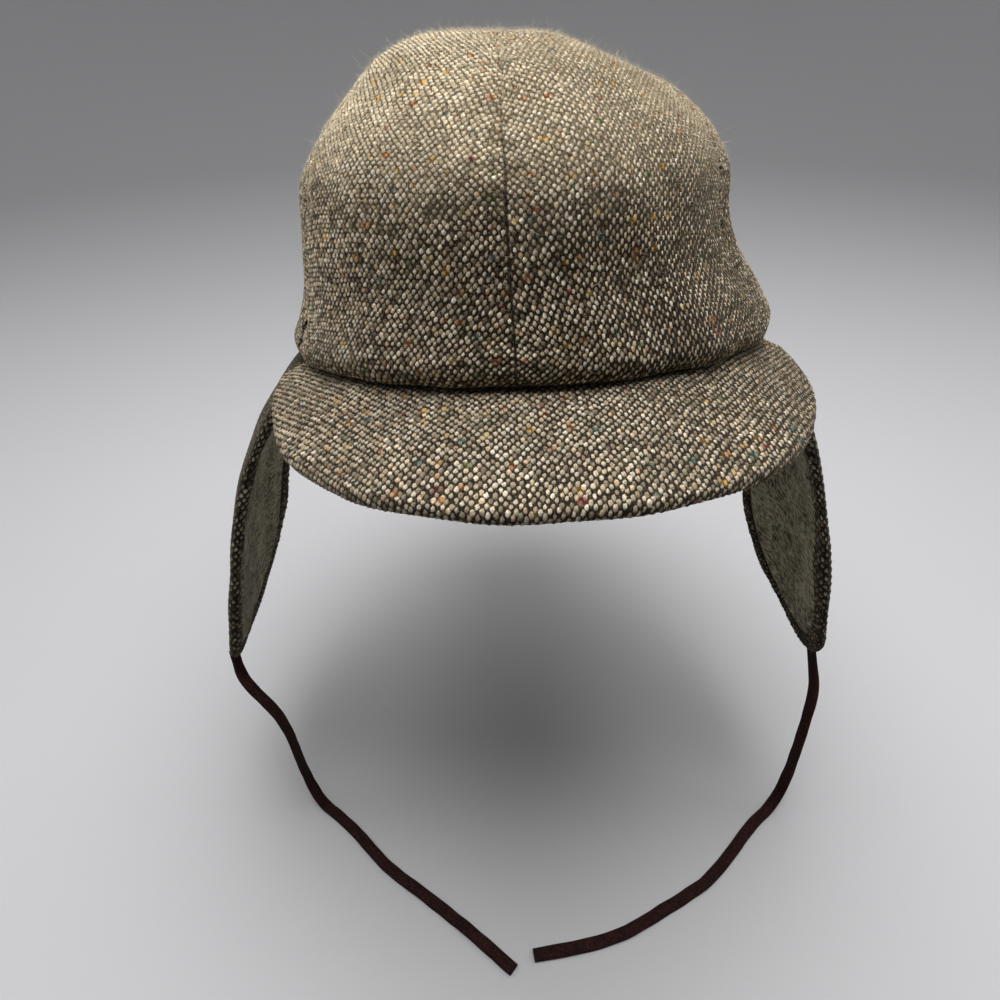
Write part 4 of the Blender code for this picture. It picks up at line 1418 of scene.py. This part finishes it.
def flap_shell(word, hang, seed):
    """The tweed shell. Its rows start at the inner border of the turned edge, run out over the
    band, round the half-round edge, and in over the outer face to the spine."""
    columns, band_rows, roll_rows, outer_rows = FLAP_GRID
    half = FLAP_THICKNESS / 2
    outline, inwards, spine = flap_outline(columns)
    band = np.linspace(FLAP_BAND, half, band_rows + 1)[:-1]
    turn = np.linspace(-math.pi / 2, math.pi / 2, roll_rows + 1)
    inset = np.concatenate((band, half * (1 - np.cos(turn))))
    depth = np.concatenate((np.full(band_rows, -half), half * np.sin(turn), np.full(outer_rows, half)))
    unrolled = np.concatenate((-(band - half) - half * math.pi, half * turn - half * math.pi / 2))
    ring = outline + inset[:, None, None] * inwards
    outer = closing_rings(ring[-1], spine, np.linspace(0, 1, outer_rows + 1)[1:])
    flat = np.concatenate((ring, outer))
    laid = np.concatenate((ring[-1] + unrolled[:, None, None] * inwards, outer))
    flat[:, (0, -1), 1] = 0.0
    weave = drifted(laid / FLAP_PITCH + seed, seed)
    wander = FLAP_WANDER * ripple(laid[..., 0], laid[..., 1], FLAP_WAVE, seed)
    relief = NUB_HEIGHT * (nubs(weave) - 0.5) + wander
    smooth, outward = hang_flat(flat, depth[:, None] + 0 * flat[..., 0], hang)
    face_normal = grid_normals(smooth, outward * np.where(depth < 0, -1, 1)[:, None, None])
    edge_rows = slice(band_rows + 1, band_rows + roll_rows)
    face_normal[edge_rows] = grid_normals(smooth, smooth - smooth[-1:])[edge_rows]
    top = np.clip(laid[..., 1] / FLAP_CALM_TOP, 0, 1)
    face = smooth + (relief * top)[..., None] * face_normal
    bed_shares = np.linspace(0, 1, (len(flat) - 1) // COARSER + 1)
    bed = closing_rings(outline + FLAP_BAND * inwards, spine, bed_shares)[:, ::COARSER]
    bed[:, (0, -1), 1] = 0.0
    back, _ = hang_flat(bed, np.full(bed.shape[:2], -half + LINING_THICKNESS), hang)
    points, quads, triangles, ends = folded_sheet(face, back)
    weaves = listed(weave, bed / FLAP_PITCH)
    piece = add_piece(
        f"ear_flap_{word}", flap_tweed, "tweed", points, quads, triangles, ends, weave=weaves
    )
    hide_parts(f"earflap_{word}")
    return face, face_normal


def flap_lining(word, hang, seed):
    """The felted lining in the shell's bed, slightly proud in its middle and soft at its edge."""
    columns, rows = LINING_GRID
    half = FLAP_THICKNESS / 2
    outline, inwards, spine = flap_outline(columns)
    first = outline + (FLAP_BAND + BED_CLEARANCE) * inwards
    flat = closing_rings(first, spine, np.linspace(0, 1, rows + 1) ** LINING_PACE)
    flat[:, (0, -1), 1] = 0.0
    distance = np.linalg.norm(flat - first, axis=-1)
    soft_edge = LINING_SOFT_EDGE * np.exp(-((distance / LINING_SOFT_REACH) ** 2))
    wander = LINING_WANDER * ripple(flat[..., 0], flat[..., 1], LINING_WAVE, seed)
    depth = -half - LINING_GAP + soft_edge + wander * (1 - np.exp(-distance / LINING_CALM_EDGE))
    face, normal = hang_flat(flat, depth, hang)
    bed = flat[COARSE]
    back, _ = hang_flat(bed, np.full(bed.shape[:2], -half + LINING_THICKNESS - BED_CLEARANCE), hang)
    name = f"flap_lining_{word}"
    piece = add_piece(name, felt, "felted_lining", *folded_sheet(face, back))
    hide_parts(f"earflap_lining_{word}")
    x, y = outline.T
    area = 0.5 * abs(float(np.sum(x * np.roll(y, -1) - y * np.roll(x, -1))))
    area -= float(lengths_along(outline)[-1]) * FLAP_BAND
    return face, -normal


flap_faces = []
lining_faces = []
for word, hang in FLAP_HANG.items():
    flap_faces.append(flap_shell(word, hang, 60 + hang["side"]))
    lining_faces.append(flap_lining(word, hang, 70 + hang["side"]))

# %% [markdown]
# ## Wool hairs
#
# Tweed is hairy: short pale fibres stand off the nubs and blur every outline. Each hair here is a
# closed spike of four triangles, thinner than a pixel. All hairs of a piece are one mesh, made
# from arrays: random points of the cloth's face, a direction between the cloth's normal and a
# random lean, and a random length. The random generator is seeded, so they always fall the same.

# %% Hairs
HAIR_WIDTH = 0.000085
HAIR_LEAN = (0.25, 1.40)
HAIR_SPREAD = (0.30, 1.0)
HAIR_SHORTNESS = 1.4
HAIR_BEND = 0.35
HAIR_TAPER = 0.6
HAIR_ROOT = 0.0001


def pick_spots(faces, count, favour, rng):
    """Random points of the faces' grids with their normals. favour gives a weight for each
    point, so that more hairs stand where the cloth is fuzzier."""
    points, normals = (listed(*grids) for grids in zip(*faces))
    sums = np.cumsum(favour(points))
    spot = np.searchsorted(sums, rng.uniform(0, sums[-1], count))
    return points[spot], normals[spot]


def spike_triangles(joints):
    """Faces of one hair: its root, two triangles on each side between joints, and its tip."""
    triangles = [(0, 2, 1)]
    for low in range(0, 3 * joints - 3, 3):
        for corner in range(3):
            following = (corner + 1) % 3
            triangles.append((low + corner, low + following, low + 3 + following))
            triangles.append((low + corner, low + 3 + following, low + 3 + corner))
    tip, low = 3 * joints, 3 * joints - 3
    return np.array(triangles + [(low, low + 1, tip), (low + 1, low + 2, tip), (low + 2, low, tip)])


def hairs(name, faces, count, length, favour, seed, material=wool_hair, slot="tweed", joints=1):
    """Tapering spikes that lean over and bend: each hair is a stack of small triangles that
    shrinks to one tip point, along base + reach (t up + t lean + t t sideways)."""
    rng = np.random.default_rng(seed)
    base, up = pick_spots(faces, count, favour, rng)
    lean, bend = rng.normal(size=(2, count, 3))
    lean = unit(lean - up * np.sum(lean * up, axis=1, keepdims=True))
    lean_turn = rng.uniform(*HAIR_LEAN, (count, 1))
    direction = np.cos(lean_turn) * up + np.sin(lean_turn) * lean
    reach = length * rng.uniform(*HAIR_SPREAD, (count, 1)) ** HAIR_SHORTNESS
    side = unit(np.cross(direction, lean + 0.3 * up))
    other = np.cross(direction, side)
    turns = np.arange(3) * 2 * math.pi / 3
    root = base - HAIR_ROOT * up
    corners = []
    for share in np.arange(joints) / joints:
        middle = root + reach * (share * direction + share**2 * HAIR_BEND * bend)
        radius = HAIR_WIDTH / 2 * (1 - HAIR_TAPER * share)
        corners += [middle + radius * (np.cos(turn) * side + np.sin(turn) * other) for turn in turns]
    corners.append(root + reach * (direction + (HAIR_BEND * bend if joints > 1 else 0)))
    firsts = len(corners) * np.arange(count)[:, None, None]
    add_piece(name, material, slot, np.stack(corners, 1), triangles=firsts + spike_triangles(joints))


def fuzzier_on_top(points):
    """Weight 1 low on the crown, rising with height to 4 at its top."""
    return 1 + 3 * np.clip((points[:, 2] - 0.03) / 0.05, 0, 1)


def evenly(points):
    """Weight 1 everywhere."""
    return np.ones(len(points))


# name, faces, count, length in metres, where, seed
hairs("crown_hairs", crown_faces, 31000, 0.0022, fuzzier_on_top, 5)
hairs("crown_long_hairs", crown_faces, 3600, 0.0040, fuzzier_on_top, 15, joints=3)
hairs("peak_hairs", peak_faces, 4500, 0.0017, evenly, 6)
hairs("flap_hairs", flap_faces, 6000, 0.0019, evenly, 7)
hairs("lining_hairs", lining_faces, 9000, 0.0030, evenly, 8, felt_hair, "felted_lining")


# %% [markdown]
# ## Floor and light
#
# The hat is shown on a plain pale table under a large soft light from above, with weaker light
# from both sides. The table is one sweep: far away it curves up into a wall, so that no line shows
# where the floor ends.

# %% Floor and light
SWEEP_FLAT = 1.6
SWEEP_REACH = 4.0
SWEEP_HEIGHT = 5.0
SWEEP_RINGS = 40
SWEEP_SIDES = 96
FLOOR_COLOUR = (0.48, 0.48, 0.49, 1)
FLOOR_ROUGHNESS = 0.7
SURROUND_COLOUR = (0.80, 0.81, 0.83, 1)
SURROUND_STRENGTH = 0.12
LIGHTS = {
    # name: place, target, size, power
    "top_light": ((0.00, 0.01, 0.54), (0.0, 0.0, 0.05), 0.6, 5.2),
    "soft_light": ((0.0, 0.3, 2.2), (0.0, 0.0, 0.0), 3.0, 36.0),
    "left_light": ((-0.9, 0.1, 0.50), (0.0, 0.0, 0.0), 0.6, 1.8),
    "right_light": ((0.9, 0.1, 0.50), (0.0, 0.0, 0.0), 0.6, 2.6),
}


def add_floor():
    """A round table that turns up at its far edge into a pale wall, so that no edge shows: level
    up to SWEEP_FLAT, then a quarter ellipse up to SWEEP_HEIGHT."""
    rise = np.linspace(0.0, math.pi / 2, SWEEP_RINGS)
    radius = np.r_[0.0, SWEEP_FLAT + (SWEEP_REACH - SWEEP_FLAT) * np.sin(rise)]
    height = np.r_[0.0, SWEEP_HEIGHT * (1 - np.cos(rise))]
    turn = np.linspace(0.0, 2 * math.pi, SWEEP_SIDES + 1)
    x = radius[:, None] * np.cos(turn)
    y = radius[:, None] * np.sin(turn)
    points = np.stack((x, y, TABLE_Z + height[:, None] + 0 * x), -1).reshape(-1, 3)
    mesh = bpy.data.meshes.new("floor")
    cells = cell_corners(grid_numbers(len(radius), SWEEP_SIDES + 1))
    mesh.from_pydata(points.tolist(), [], cells.tolist())
    mesh.shade_smooth()
    material = bpy.data.materials.new("pale_floor")
    material.use_nodes = True
    shader = material.node_tree.nodes["Principled BSDF"]
    shader.inputs["Base Color"].default_value = FLOOR_COLOUR
    shader.inputs["Roughness"].default_value = FLOOR_ROUGHNESS
    mesh.materials.append(material)
    put_in_scene("floor", mesh)


def add_light(name, place, target, size, power):
    """A square soft light that faces its target."""
    data = bpy.data.lights.new(name, "AREA")
    data.size = size
    data.energy = power
    backward = unit(np.array(place, float) - np.array(target, float))
    right = unit(np.cross((0.0, 1.0, 0.001), backward))
    aim(put_in_scene(name, data), (right, np.cross(backward, right), backward), place)


add_floor()
for name, numbers in LIGHTS.items():
    add_light(name, *numbers)
bpy.context.scene.view_settings.view_transform = "Standard"
world = bpy.data.worlds.new("surround")
world.use_nodes = True
surround = world.node_tree.nodes["Background"]
surround.inputs["Color"].default_value = SURROUND_COLOUR
surround.inputs["Strength"].default_value = SURROUND_STRENGTH
bpy.context.scene.world = world
